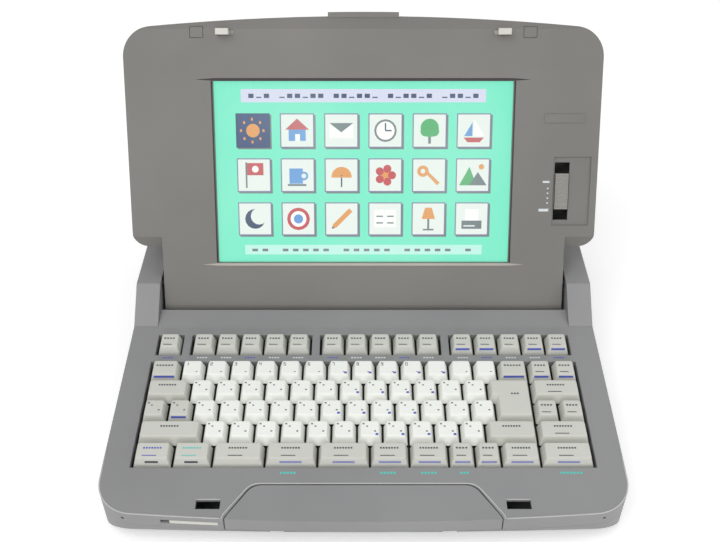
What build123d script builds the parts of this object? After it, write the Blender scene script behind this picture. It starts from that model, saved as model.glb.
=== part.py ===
from build123d import *
import math
import os

# Electronic word processor with a hinged display lid, modelled open as on a desk.
#
# Millimetres. +X is the user's right, +Y points to the back, +Z is up. The origin is on the
# table, under the middle of the machine. The machine is described in three frames:
#   body frame  the frame above;
#   deck frame  (x, v, h): v runs back along the sloping keyboard deck, h stands square to it;
#   lid frame   (x, s, n): s runs up the lid from its hinge axis, n stands out of its face.

# ---------------------------------------------------------------- walls and clearances
WALL = 2.5
SEAM_GAP = 0.1
SKIN_GAP = 0.3
PIN_RUNNING_GAP = 0.05
CUT_EXTRA = 1.0

# ---------------------------------------------------------------- body
SIDE_BORDER = 19.8
FRONT_BOW = 8.0
FRONT_CORNER_R = 28.0
REAR_CORNER_R = 12.0
GROUND_CLEARANCE = 4.0
DECK_TILT = 5.0
DECK_FRONT_HEIGHT = 34.0
LIP_HEIGHT = 12.0
UNDERCUT_DEPTH = 22.0
TOP_OVER_HINGE = 5.82

# ---------------------------------------------------------------- keyboard
KEY_PITCH = 19.05
ROW_COUNT = 5
ROW_UNITS = 17.5
WELL_MARGIN = 1.0
WELL_FRONT = 43.2
WELL_SPACING = 6.6
GROUP_GAP = 0.43
GROUP_SIZES = (1, 5, 5, 5)
CAP_BASE_MARGIN = 0.75
CAP_SIDE_SLOPE = 2.2
CAP_FRONT_SLOPE = 3.4
CAP_BACK_SLOPE = 0.9
CAP_CORNER_R = 1.2
CAP_HEIGHT = 8.0
CAP_TOP = 4.5
KEY_TRAVEL = 3.0
TRAVEL_CLEARANCE = 0.5
STEM_SIZE = 7.0
STEM_GUIDE_GAP = 0.2
DOME_HEIGHT = 5.2
PLATE_THICKNESS = 1.5
PLATE_MARGIN = 4.0
MEMBRANE_THICKNESS = 0.8
BACKING_THICKNESS = 1.0
SKIRT_WALL = 1.5

# ---------------------------------------------------------------- towers, strip and lid hinge
STRIP_SPACING = 7.9
STRIP_RISE = 2.0
TOWER_STEP = 1.0
TOWER_SLOPE_LENGTH = 29.0
TOWER_WIDTH = 19.5
HINGE_BEHIND_LEDGE = 10.0
PIN_R = 3.0
PIN_REACH_IN_LID = 14.0
PIN_HEAD = 4.0
BRACKET_THICKNESS = 2.5
BRACKET_DROP = 16.0
BRACKET_SETBACK = 4.0
BRACKET_BACK_GAP = 6.0
BARREL_R = 22.8
TROUGH_GAP = 1.5

# ---------------------------------------------------------------- lid
LID_OPEN_ANGLE = 62.2
LID_OVERTRAVEL = 6.0
LID_KEY_CLEARANCE = 1.4
LID_OVERHANG = 2.0
LID_NECK_GAP = 2.5
LID_NECK_TOP = 30.6
LID_SETBACK = 1.0
LID_CREST_RISE = 10.0
LID_FACE_OFFSET = 6.5
LID_SEAM_OFFSET = -8.0
LID_TOP_CORNER_R = 24.0
LID_FOOT_CORNER_R = 12.0
LID_BEVEL_DROP = 6.7
LID_FOOT_BEVEL = 5.5
LID_FOOT_BEVEL_LENGTH = 9.0
LID_BACK_ROUND = 6.0
SCREEN_WIDTH = 239.2
SCREEN_HEIGHT = 147.1
SCREEN_FOOT = 17.8
WINDOW_THICKNESS = 1.5
WINDOW_OVERLAP = 3.0
PANEL_THICKNESS = 8.0
PANEL_OVERLAP = 7.0
LAMP_R = 2.0
BOARD_THICKNESS = 1.6

SLIDER_INSET = 28.5
SLIDER_BELOW_MIDDLE = 14.35
SLIDER_SLOT_WIDTH = 12.0
SLIDER_SLOT_LENGTH = 47.0
SLIDER_KNOB_WIDTH = 10.5
SLIDER_KNOB_LENGTH = 29.0
SLIDER_PROUD = 0.6
SLIDER_FLANGE = 1.5
SLIDER_RECESS_WIDTH = 30.0
SLIDER_RECESS_LENGTH = 56.0
SLIDER_RECESS_DEPTH = 1.2
SLIDER_RECESS_EDGE = 1.0

HOOK_X = 110.0
HOOK_WIDTH = 10.0
HOOK_DROP = 12.5
HOOK_DEPTH = 4.0
HOOK_REACH = 8.0
HOOK_LIP = 0.8
HOOK_LIP_HEIGHT = 2.0
HOOK_TRAVEL = 2.5
LATCH_BAR_HEIGHT = 5.0
LATCH_BAR_THICKNESS = 4.0
BUTTON_WIDTH = 56.0
BUTTON_RISE = 3.2
BUTTON_THICKNESS = 9.0
BUTTON_TRAVEL = 2.5
PAD_X = 131.0
PAD_WIDTH = 10.0
PAD_HEIGHT = 8.0
PAD_THICKNESS = 1.6
PAD_SUNK = 0.2

# ---------------------------------------------------------------- front edge
HANDLE_BACK = 28.9
HANDLE_BACK_HALF = 78.0
HANDLE_TAPER = 18.0
HANDLE_CORNER_R = 12.0
HANDLE_GAP = 0.8
HANDLE_TRAVEL = 32.0
ARM_X = 60.0
ARM_WIDTH = 9.0
ARM_THICKNESS = 5.0
ARM_GRIP = 30.0
ARM_DROP = 5.5
ARM_GUIDE_DEPTH = 8.0
SLOT_INWARD = 2.0
SLOT_WIDTH = 17.0
SLOT_DEPTH = 7.0
CATCH_LENGTH = 34.0
CATCH_HEIGHT = 3.2
CATCH_DEPTH = 3.0
CATCH_GAP = 4.0
CATCH_TRAVEL = 6.0

# ---------------------------------------------------------------- printer
PLATEN_R = 9.0
PLATEN_LENGTH = 246.0
PLATEN_END_GAP = 7.0
SHAFT_R = 3.0
SHAFT_END = 1.0
FRAME_THICKNESS = 3.0
FRAME_TOP_GAP = 7.0
FRAME_RAMP_GAP = 0.15
FRAME_BACK_REACH = 8.0
MOTOR_PLATE = 2.0
MOTOR_R = 7.0
MOTOR_LENGTH = 24.0
MOTOR_BACK_GAP = 3.7
PINION_ANGLE = -45.0
PINION_FLOOR_GAP = 0.09
KNOB_R = 10.0
KNOB_BORE_GAP = 1.0
KNOB_PROUD = 4.0
KNOB_LENGTH = 14.0
KNOB_FACE = 2.0
GEAR_MODULE = 0.8
GEAR_WIDTH = 5.0
GEAR_BACKLASH = 0.35
GEAR_ADDENDUM = 0.85
GEAR_DEDENDUM = 1.25
GEAR_TOP_GAP = 0.92
PLATEN_TEETH = 36
IDLER_TEETH = 24
PINION_TEETH = 12
BELT_INSET = 9.0
BELT_TO_GUIDE = 12.0
GUIDE_BELOW_PLATEN = 2.5
CARRIAGE_WIDTH = 36.0
CARRIAGE_DEPTH = 16.0
CARRIAGE_HEIGHT = 14.0
HEAD_ARM = 0.9
HEAD_GAP = 0.5
HEAD_THICKNESS = 1.6
CASSETTE_HEIGHT = 9.0
CASSETTE_OVERHANG = 2.0
SPOOL_R = 2.0
SPOOL_PROUD = 1.0
PULLEY_R = 6.0
PULLEY_INSET = 14.0
BELT_THICKNESS = 1.2
BELT_WIDTH = 4.0
CARRIAGE_MOTOR_R = 8.0
MOTOR_LUG = (3.0, 5.0, 7.0)
COVER_OVERHANG = 6.0
COVER_SETBACK = 8.3
COVER_BEHIND_PLATEN = 26.0
COVER_GAP = 0.5
COVER_BEAD_R = 2.2
COVER_PIN_R = 1.2
COVER_PIN_REACH = 4.0
COVER_EAR_DROP = 2.5
PAPER_SLOT_OVERHANG = 1.0
PAPER_SLOT_SETBACK = 5.0
PAPER_SLOT_WIDTH = 7.0
GUIDE_TAB_INSET = 19.0
GUIDE_TAB_SIZE = (8.0, 2.0, 7.0)
GUIDE_TONGUE = (1.0, 4.0)
LEVER_BESIDE_COVER = 14.0
LEVER_THICKNESS = 4.0
LEVER_SLOT_GAP = 3.27
LEVER_HUB_R = 6.0
LEVER_WIDTH = 6.0
LEVER_PROUD = 6.0
LEVER_SWING = 20.0

# ---------------------------------------------------------------- disk drive, power and boards
DRIVE_WIDTH = 101.6
DRIVE_LENGTH = 130.0
DRIVE_HEIGHT = 19.0
DRIVE_BOSS_GAP = 2.4
DRIVE_BEZEL = 3.0
DISK_SLOT_WIDTH = 92.0
DISK_SLOT_HEIGHT = 4.6
DISK_BAY_DEPTH = 103.0
FLAP_THICKNESS = 1.2
FLAP_SUNK = 0.2
EJECT_INSET = 10.0
EJECT_LIFT = 3.0
EJECT_WIDTH = 12.0
EJECT_HEIGHT = 5.0
EJECT_LENGTH = 6.0
EJECT_SUNK = 0.4
EJECT_TRAVEL = 4.0
SUPPLY_SIZE = (66.0, 84.0, 24.0)
SUPPLY_SIDE_GAP = 11.0
SUPPLY_BACK_GAP = 6.0
INLET_INSET = 37.5
INLET_WIDTH = 24.0
INLET_HEIGHT = 14.0
INLET_DEPTH = 16.0
INLET_LIFT = 4.0
INLET_WALL = 3.0
SOCKET_DEPTH = 10.0
BLADE_R = 1.2
BLADE_LENGTH = 7.0
BLADE_SPACING = 8.0
SWITCH_BEHIND_PLATEN = 6.0
SWITCH_WIDTH = 14.0
SWITCH_LENGTH = 20.0
SWITCH_DEPTH = 12.0
SWITCH_WALL = 1.5
ROCKER_GAP = 0.7
ROCKER_SPAN = (1.2, 6.5)
ROCKER_END_GAP = 2.0
ROCKER_SWING = 8.0
ROCKER_AXIS_DEPTH = 4.0
BOARD_SIZE = (276.0, 100.0)
BOARD_LIFT = 5.0
BOARD_GAP = 4.0
PILLAR_R = 3.0
PILLAR_INSET = 10.0
CHIP_SIZE = (24.0, 24.0, 3.0)
CHIP_PITCH = 50.0
CHIP_COUNT = 4
CHIP_BACK_GAP = 26.0
BUZZER_R = 6.0
BUZZER_HEIGHT = 4.0
BUZZER_INSET = (16.0, 30.0)
FOOT_R = 8.0
FOOT_INSET = 34.0
FRONT_FOOT_GAP = 17.0
SCREW_R = 1.6
SCREW_HEAD_R = 3.2
SCREW_HEAD_HEIGHT = 1.6
BOSS_R = 4.0
BOSS_SIDE_GAP = 8.0
BOSS_SPLIT_Z = 14.0
SCREW_BITE = 10.0
FRONT_SCREW_GAP = 8.8
MIDDLE_SCREW_GAP = 3.55
TOWER_SCREW_INSET = 19.0
REAR_SCREW_INSET = 14.0

# ---------------------------------------------------------------- worked-out keyboard and lid sizes
TILT = math.radians(DECK_TILT)
RAMP_ANGLE = math.radians(LID_OPEN_ANGLE - LID_OVERTRAVEL)
FIELD_WIDTH = ROW_UNITS * KEY_PITCH
FIELD_FRONT = WELL_FRONT + WELL_MARGIN
WELL_BACK = WELL_FRONT + ROW_COUNT * KEY_PITCH + 2 * WELL_MARGIN
FUNCTION_FRONT = WELL_BACK + WELL_SPACING + WELL_MARGIN
FUNCTION_UNITS = sum(GROUP_SIZES) + GROUP_GAP * (len(GROUP_SIZES) - 1)
STRIP_FOOT = FUNCTION_FRONT + KEY_PITCH + WELL_MARGIN + STRIP_SPACING
TOWER_FOOT = STRIP_FOOT + TOWER_STEP
TOWER_LEDGE = TOWER_FOOT + TOWER_SLOPE_LENGTH
HINGE_V = TOWER_LEDGE + HINGE_BEHIND_LEDGE
HINGE_H = CAP_TOP + LID_KEY_CLEARANCE + LID_FACE_OFFSET
TROUGH_R = BARREL_R + TROUGH_GAP
STRIP_BACK = HINGE_V - math.sqrt(TROUGH_R**2 - (HINGE_H - STRIP_RISE) ** 2)
SCREW_ROWS = (
    WELL_FRONT + FRONT_SCREW_GAP, WELL_BACK + MIDDLE_SCREW_GAP, TOWER_FOOT + TOWER_SCREW_INSET
)

CAP_BOTTOM = CAP_TOP - CAP_HEIGHT
PLATE_TOP = CAP_BOTTOM - KEY_TRAVEL - TRAVEL_CLEARANCE
PLATE_BOTTOM = PLATE_TOP - PLATE_THICKNESS
MEMBRANE_TOP = PLATE_BOTTOM - DOME_HEIGHT
MEMBRANE_BOTTOM = MEMBRANE_TOP - MEMBRANE_THICKNESS
BACKING_BOTTOM = MEMBRANE_BOTTOM - BACKING_THICKNESS
STEM_BOTTOM = MEMBRANE_TOP + KEY_TRAVEL + SKIN_GAP

HALF_WIDTH = FIELD_WIDTH / 2 + WELL_MARGIN + SIDE_BORDER
TOWER_INNER_X = HALF_WIDTH - TOWER_WIDTH
LID_HALF = HALF_WIDTH + LID_OVERHANG
LID_NECK_HALF = TOWER_INNER_X - LID_NECK_GAP
LID_BACK_OFFSET = -BARREL_R
LID_CREST = HINGE_V - LID_SETBACK
LID_SHOULDER = LID_CREST - LID_CREST_RISE
HOOK_S = LID_CREST - HOOK_DROP
SCREEN_MID = SCREEN_FOOT + SCREEN_HEIGHT / 2
SLIDER_X = LID_HALF - SLIDER_INSET
SLIDER_S = SCREEN_MID - SLIDER_BELOW_MIDDLE

ARM_DEPTH = LIP_HEIGHT + ARM_DROP
ARM_LENGTH = HANDLE_TRAVEL + ARM_GRIP
HANDLE_FRONT_HALF = HANDLE_BACK_HALF + HANDLE_TAPER
SLOT_X = HOOK_X - SLOT_INWARD
CATCH_X = -(HANDLE_FRONT_HALF + CATCH_GAP + CATCH_LENGTH / 2)

# ---------------------------------------------------------------- worked-out heights
HINGE_Z = DECK_FRONT_HEIGHT + HINGE_V * math.sin(TILT) + HINGE_H * math.cos(TILT)
REAR_HEIGHT = HINGE_Z + TOP_OVER_HINGE
FLOOR_Z = GROUND_CLEARANCE + WALL
GEAR_TIP_R = GEAR_MODULE * (PLATEN_TEETH / 2 + GEAR_ADDENDUM)
IDLER_REACH = GEAR_MODULE * (PLATEN_TEETH + IDLER_TEETH) / 2 + GEAR_BACKLASH
PINION_REACH = GEAR_MODULE * (IDLER_TEETH + PINION_TEETH) / 2 + GEAR_BACKLASH
PINION_Y_STEP = PINION_REACH * math.cos(math.radians(PINION_ANGLE))
PINION_Z_STEP = PINION_REACH * math.sin(math.radians(PINION_ANGLE))
PINION_TIP_R = GEAR_MODULE * (PINION_TEETH / 2 + GEAR_ADDENDUM)
PRINTER_Z = REAR_HEIGHT - WALL - GEAR_TOP_GAP - GEAR_TIP_R
GUIDE_Z = PRINTER_Z - GUIDE_BELOW_PLATEN
FRAME_TOP_Z = REAR_HEIGHT - FRAME_TOP_GAP
FRAME_FLOOR_Z = PRINTER_Z + PINION_Z_STEP - PINION_TIP_R - PINION_FLOOR_GAP - FRAME_THICKNESS
RAMP_FOOT_Z = HINGE_Z - TROUGH_R * math.cos(RAMP_ANGLE)

# ---------------------------------------------------------------- worked-out distances behind the front
HINGE_DISTANCE = HINGE_V * math.cos(TILT) - HINGE_H * math.sin(TILT)
RAMP_FOOT_DISTANCE = HINGE_DISTANCE + TROUGH_R * math.sin(RAMP_ANGLE)
RAMP_TOP_DISTANCE = RAMP_FOOT_DISTANCE + (REAR_HEIGHT - RAMP_FOOT_Z) / math.tan(RAMP_ANGLE)
RAMP_BACK_TOP = RAMP_TOP_DISTANCE + 2 * WALL
RAMP_BACK_RUN = RAMP_BACK_TOP - RAMP_FOOT_DISTANCE - WALL * math.sin(RAMP_ANGLE)
RAMP_BACK_RISE = REAR_HEIGHT - RAMP_FOOT_Z + WALL * math.cos(RAMP_ANGLE)
RAMP_BACK_AT_FRAME = RAMP_BACK_TOP - (REAR_HEIGHT - FRAME_TOP_Z) * RAMP_BACK_RUN / RAMP_BACK_RISE
FRAME_DISTANCE = RAMP_BACK_AT_FRAME + FRAME_RAMP_GAP
GUIDE_TO_PLATEN = CARRIAGE_DEPTH / 2 + HEAD_ARM + HEAD_THICKNESS + HEAD_GAP + PLATEN_R
PLATEN_DISTANCE = FRAME_DISTANCE + BELT_INSET + BELT_TO_GUIDE + GUIDE_TO_PLATEN
BODY_DEPTH = PLATEN_DISTANCE + IDLER_REACH + PINION_Y_STEP + MOTOR_R + MOTOR_BACK_GAP + WALL

FRONT_Y = -BODY_DEPTH / 2
BACK_Y = BODY_DEPTH / 2
HINGE_Y = FRONT_Y + HINGE_DISTANCE
RAMP_FOOT_Y = FRONT_Y + RAMP_FOOT_DISTANCE
RAMP_TOP_Y = FRONT_Y + RAMP_TOP_DISTANCE
SPLIT_Y = RAMP_TOP_Y + WALL
PRINTER_Y = FRONT_Y + PLATEN_DISTANCE
GUIDE_Y = PRINTER_Y - GUIDE_TO_PLATEN
BELT_Y = GUIDE_Y - BELT_TO_GUIDE
FRAME_FRONT_Y = FRONT_Y + FRAME_DISTANCE
COVER_FRONT_Y = SPLIT_Y + COVER_SETBACK
COVER_BACK_Y = PRINTER_Y + COVER_BEHIND_PLATEN
FRAME_BACK_Y = COVER_BACK_Y
PAPER_SLOT_Y = COVER_BACK_Y + PAPER_SLOT_SETBACK
FRAME_HALF = PLATEN_LENGTH / 2 + PLATEN_END_GAP
COVER_HALF = FRAME_HALF + COVER_OVERHANG
PAPER_SLOT_HALF = FRAME_HALF + PAPER_SLOT_OVERHANG
PULLEY_X = FRAME_HALF - PULLEY_INSET
PLATEN_GEAR_X = -(FRAME_HALF + FRAME_THICKNESS + SKIN_GAP)
GUIDE_TAB_X = GUIDE_TAB_INSET - PAPER_SLOT_HALF
LEVER_X = COVER_HALF + LEVER_BESIDE_COVER
DRIVE_FRONT_Y = BACK_Y - REAR_SCREW_INSET - BOSS_R - DRIVE_BOSS_GAP - DRIVE_WIDTH
LEVER_REACH = (REAR_HEIGHT - PRINTER_Z) * math.tan(math.radians(LEVER_SWING))
LEVER_SLOT_HALF = LEVER_REACH + LEVER_WIDTH / 2 + LEVER_SLOT_GAP
SWITCH_Y = PRINTER_Y + SWITCH_BEHIND_PLATEN
INLET_X = INLET_INSET - HALF_WIDTH

DECK_FRAME = Location((0, FRONT_Y, DECK_FRONT_HEIGHT), (DECK_TILT, 0, 0))
LID_FRAME = Location((0, HINGE_Y, HINGE_Z), (LID_OPEN_ANGLE, 0, 0))


# ---------------------------------------------------------------- shape helpers
def block(x, y, z):
    """Box from three (low, high) pairs."""
    size = (x[1] - x[0], y[1] - y[0], z[1] - z[0])
    return Pos((x[0] + x[1]) / 2, (y[0] + y[1]) / 2, (z[0] + z[1]) / 2) * Box(*size)


def centred(middle, half, low, high):
    """(low, high) pairs of a span about a middle, with the other pair passed through."""
    return (middle - half, middle + half), (low, high)


def grown(spans, margin):
    """The three spans, each widened by the margin at both ends."""
    return [(low - margin, high + margin) for low, high in spans]


def rod_x(radius, x0, x1, y, z):
    """Cylinder along X."""
    return Pos((x0 + x1) / 2, y, z) * Rot(0, 90, 0) * Cylinder(radius, x1 - x0)


def rod_z(radius, x, y, z0, z1):
    """Cylinder along Z."""
    return Pos(x, y, (z0 + z1) / 2) * Cylinder(radius, z1 - z0)


def prism_x(points, x0, x1):
    """Polygon of (y, z) points, extruded along X."""
    wire = Wire.make_polygon([Vector(x0, y, z) for y, z in points], close=True)
    return extrude(Face(wire), amount=x1 - x0, dir=(1, 0, 0))


def both_sides(shape):
    """The shape and its mirror image in the machine's middle plane."""
    return shape, mirror(shape, about=Plane.YZ)


def write(name, *shapes):
    """One STEP file for one piece, or for a group of like pieces."""
    solids = [solid for shape in shapes for solid in shape.solids()]
    whole = solids[0] if len(solids) == 1 else Compound(children=solids)
    export_step(whole, "parts/" + name + ".step")


def deck_to_body(v, h):
    """Body-frame (y, z) of a point given in the deck frame."""
    y = FRONT_Y + v * math.cos(TILT) - h * math.sin(TILT)
    z = DECK_FRONT_HEIGHT + v * math.sin(TILT) + h * math.cos(TILT)
    return y, z


# ---------------------------------------------------------------- outlines of the body
def plan_face(inset):
    """Plan of the body, drawn in by the inset: bowed front edge and rounded corners."""
    half = HALF_WIDTH - inset
    front = FRONT_Y + inset
    back = BACK_Y - inset
    corner = front + FRONT_BOW
    edges = [
        Edge.make_line((half, corner), (half, back)),
        Edge.make_line((half, back), (-half, back)),
        Edge.make_line((-half, back), (-half, corner)),
        Edge.make_three_point_arc((-half, corner), (0, front), (half, corner)),
    ]
    face = Face(Wire(edges))
    ends = sorted(face.vertices(), key=lambda vertex: vertex.Y)
    face = face.fillet_2d(FRONT_CORNER_R - inset, ends[:2])
    ends = sorted(face.vertices(), key=lambda vertex: vertex.Y)
    return face.fillet_2d(REAR_CORNER_R - inset, ends[-2:])


def plan_prism(inset):
    """The plan, extruded from the table to above the body."""
    return extrude(plan_face(inset), amount=REAR_HEIGHT + WALL, dir=(0, 0, 1))


def seam_z(y):
    """Height of the seam between the lower and upper shells."""
    start_y, start_z = deck_to_body(0, -LIP_HEIGHT)
    return start_z + (y - start_y) * math.tan(TILT)


def body_span(drop, back):
    """The two ends of a side profile's foot: the seam line, or a wall under it in a hollow."""
    ahead = FRONT_Y - WALL
    below = WALL if drop else 0
    return (ahead, seam_z(ahead) - below), (back, seam_z(back) - below)


def deck_profile(drop):
    """Side view of the deck between the towers; drop lowers its top."""
    back_y, back_z = deck_to_body(STRIP_BACK, STRIP_RISE - drop)
    start, end = body_span(drop, back_y)
    top = [(back_y, back_z), deck_to_body(STRIP_FOOT, -drop), deck_to_body(-WALL, -drop)]
    return [start, end, *top]


def tower_profile(drop, back):
    """Side view at a tower: the deck, the slope up to the ledge, and the level top."""
    start, end = body_span(drop, back)
    ledge_y = deck_to_body(TOWER_LEDGE, 0)[0]
    top = [
        (back, REAR_HEIGHT - drop),
        (ledge_y + drop / 2, REAR_HEIGHT - drop),
        deck_to_body(TOWER_FOOT + drop / 2, -drop),
        deck_to_body(-WALL, -drop),
    ]
    return [start, end, *top]


# ---------------------------------------------------------------- keys
def key_column(start_units, width_units):
    """X of the low and high sides of a key's cell."""
    low = -FIELD_WIDTH / 2 + start_units * KEY_PITCH
    return low, low + width_units * KEY_PITCH


def cap_solid(x, v):
    """Tapered keycap over the cell x by v."""
    base = (*grown([x], -CAP_BASE_MARGIN)[0], *grown([v], -CAP_BASE_MARGIN)[0])
    top = (
        base[0] + CAP_SIDE_SLOPE,
        base[1] - CAP_SIDE_SLOPE,
        base[2] + CAP_FRONT_SLOPE,
        base[3] - CAP_BACK_SLOPE,
    )
    sections = []
    for (x0, x1, v0, v1), height in ((base, CAP_BOTTOM), (top, CAP_TOP)):
        place = Pos((x0 + x1) / 2, (v0 + v1) / 2, height)
        sections.append(place * RectangleRounded(x1 - x0, v1 - v0, CAP_CORNER_R))
    return loft(sections)


def stem_solid(x, v):
    """Square stem under a cap."""
    half = STEM_SIZE / 2
    mid_x, mid_v = sum(x) / 2, sum(v) / 2
    heights = (STEM_BOTTOM, CAP_BOTTOM)
    return block((mid_x - half, mid_x + half), (mid_v - half, mid_v + half), heights)


def row_span(row):
    """v of the front and back of a row; row 0 is the nearest to the user."""
    front = FIELD_FRONT + row * KEY_PITCH
    return front, front + KEY_PITCH


def row_cells(row, widths, start=0.0):
    """Cells of keys side by side in a row, from their widths in units."""
    cells = []
    for width in widths:
        cells.append((key_column(start, width), row_span(row)))
        start += width
    return cells


def function_cells():
    """Cells of the four groups of function keys."""
    span = (FUNCTION_FRONT, FUNCTION_FRONT + KEY_PITCH)
    start = (ROW_UNITS - FUNCTION_UNITS) / 2
    groups = []
    for size in GROUP_SIZES:
        groups.append([(key_column(start + index, 1), span) for index in range(size)])
        start += size + GROUP_GAP
    return groups


BOTTOM_WIDTHS = (1.5, 1.5, 2, 2, 2, 1.5, 1.5, 1, 1, 1.5, 2)
EDIT_START = ROW_UNITS - 2
ENTER_UPPER = (EDIT_START - 1.75, 1.75)
ENTER_LOWER = (EDIT_START - 1.5, 1.5)
KEY_GROUPS = {
    "bottom_row_keys": row_cells(0, BOTTOM_WIDTHS),
    "lower_letter_keys": row_cells(1, [1] * 11, 2.5),
    "shift_keys": row_cells(1, [2.5]) + row_cells(1, [2], 13.5),
    "home_letter_keys": row_cells(2, [1] * 14),
    "upper_letter_keys": row_cells(3, [1.75] + [1] * 12),
    "number_row_keys": row_cells(4, [1.25] + [1] * 13 + [1.25]),
    "edit_keys": row_cells(1, [2], EDIT_START) + row_cells(2, [1, 1], EDIT_START)
    + row_cells(3, [2], EDIT_START) + row_cells(4, [1, 1], EDIT_START),
    "function_keys": [cell for group in function_cells() for cell in group],
}
enter_front, enter_middle = row_span(2)
enter_back = row_span(3)[1]
ENTER_STEM = (key_column(*ENTER_LOWER), (enter_front, enter_back))
ALL_STEM_CELLS = [cell for cells in KEY_GROUPS.values() for cell in cells] + [ENTER_STEM]


def make_keys():
    """Each group of keycaps with their stems."""
    for name, cells in KEY_GROUPS.items():
        keys = [DECK_FRAME * (cap_solid(x, v) + stem_solid(x, v)) for x, v in cells]
        write(name, *keys)
    long_leg = cap_solid(key_column(*ENTER_LOWER), (enter_front, enter_back))
    step = cap_solid(key_column(*ENTER_UPPER), row_span(3))
    write("enter_key", DECK_FRAME * (long_leg + step + stem_solid(*ENTER_STEM)))


def well_boxes(margin, low, high):
    """One box over the main well and one over each group of function keys."""
    grow = WELL_MARGIN + margin
    half = FIELD_WIDTH / 2 + grow
    boxes = [block((-half, half), (WELL_FRONT - margin, WELL_BACK + margin), (low, high))]
    for group in function_cells():
        x = (group[0][0][0] - grow, group[-1][0][1] + grow)
        v = (group[0][1][0] - grow, group[0][1][1] + grow)
        boxes.append(block(x, v, (low, high)))
    return boxes


def plate_span(margin):
    """X and v spans of the keyboard's plate."""
    half = FIELD_WIDTH / 2 + margin
    return (-half, half), (WELL_FRONT - margin, FUNCTION_FRONT + KEY_PITCH + margin)


def make_keyboard():
    """Guide plate with a hole for every stem, membrane and steel backing sheet."""
    outer = block(*plate_span(PLATE_MARGIN), (MEMBRANE_TOP, PLATE_TOP))
    inner = block(*plate_span(PLATE_MARGIN - SKIRT_WALL), (MEMBRANE_TOP, PLATE_BOTTOM))
    plate = outer - inner
    hole = STEM_SIZE / 2 + STEM_GUIDE_GAP
    holes = []
    for x, v in ALL_STEM_CELLS:
        mid_x, mid_v = sum(x) / 2, sum(v) / 2
        sides = (mid_x - hole, mid_x + hole), (mid_v - hole, mid_v + hole)
        holes.append(block(*sides, (PLATE_BOTTOM, PLATE_TOP)))
    write("keyboard_plate", DECK_FRAME * (plate - holes))
    membrane = block(*plate_span(PLATE_MARGIN), (MEMBRANE_BOTTOM, MEMBRANE_TOP))
    write("key_membrane", DECK_FRAME * membrane)
    backing = block(*plate_span(PLATE_MARGIN), (BACKING_BOTTOM, MEMBRANE_BOTTOM))
    write("keyboard_backing", DECK_FRAME * backing)


# ---------------------------------------------------------------- carry handle
def handle_face(grow):
    """Plan of the handle in the deck frame; grow widens it all round."""
    back_half = HANDLE_BACK_HALF + grow
    front_half = HANDLE_FRONT_HALF + grow
    back = HANDLE_BACK + grow
    ahead = -2 * WALL
    foot = WALL
    points = [(-front_half, ahead), (front_half, ahead), (front_half, foot), (back_half, back)]
    points += [(-back_half, back), (-front_half, foot)]
    face = Face(Wire.make_polygon([Vector(x, v, 0) for x, v in points], close=True))
    corners = [vertex for vertex in face.vertices() if vertex.Y > 0]
    return face.fillet_2d(HANDLE_CORNER_R, corners)


def handle_prism(grow, low, high):
    """The handle's plan, between two heights over the deck."""
    return Pos(0, 0, low) * extrude(handle_face(grow), amount=high - low, dir=(0, 0, 1))


def arm_block(grow, front, back):
    """One of the handle's two arms, under the deck."""
    half = ARM_WIDTH / 2 + grow
    heights = (-ARM_DEPTH - ARM_THICKNESS - grow, -ARM_DEPTH + grow)
    return block((ARM_X - half, ARM_X + half), (front, back), heights)


def make_handle():
    """Pull-out carry handle: a bar that fills the front edge, and two arms that slide in the case."""
    bar = DECK_FRAME * handle_prism(0, -LIP_HEIGHT, 0) & plan_prism(0)
    root = block(
        (ARM_X - ARM_WIDTH / 2, ARM_X + ARM_WIDTH / 2),
        (HANDLE_BACK - ARM_WIDTH, HANDLE_BACK),
        (-ARM_DEPTH - ARM_THICKNESS, -LIP_HEIGHT),
    )
    arm = root + arm_block(0, HANDLE_BACK - ARM_WIDTH, HANDLE_BACK + ARM_LENGTH)
    arms = [DECK_FRAME * side for side in both_sides(arm)]
    write("carry_handle", bar + arms)


# ---------------------------------------------------------------- shells of the base
def catch_box(grow):
    """Place of the handle catch in the front lip, in the deck frame."""
    half = CATCH_LENGTH / 2 + grow
    outward = CATCH_TRAVEL if grow else 0
    v = (-WALL, FRONT_BOW + CATCH_DEPTH + grow)
    middle = -LIP_HEIGHT / 2
    heights = (middle - CATCH_HEIGHT / 2 - grow, middle + CATCH_HEIGHT / 2 + grow)
    return block((CATCH_X - half - outward, CATCH_X + half), v, heights)


def tower_region(gap):
    """Space of the two hinge towers: beside the lid's neck and behind the towers' foot."""
    far = HALF_WIDTH + WALL
    heights = (-REAR_HEIGHT, REAR_HEIGHT)
    side = block((TOWER_INNER_X - gap, far), (TOWER_FOOT - gap, BODY_DEPTH), heights)
    return [DECK_FRAME * part for part in both_sides(side)]


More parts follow.
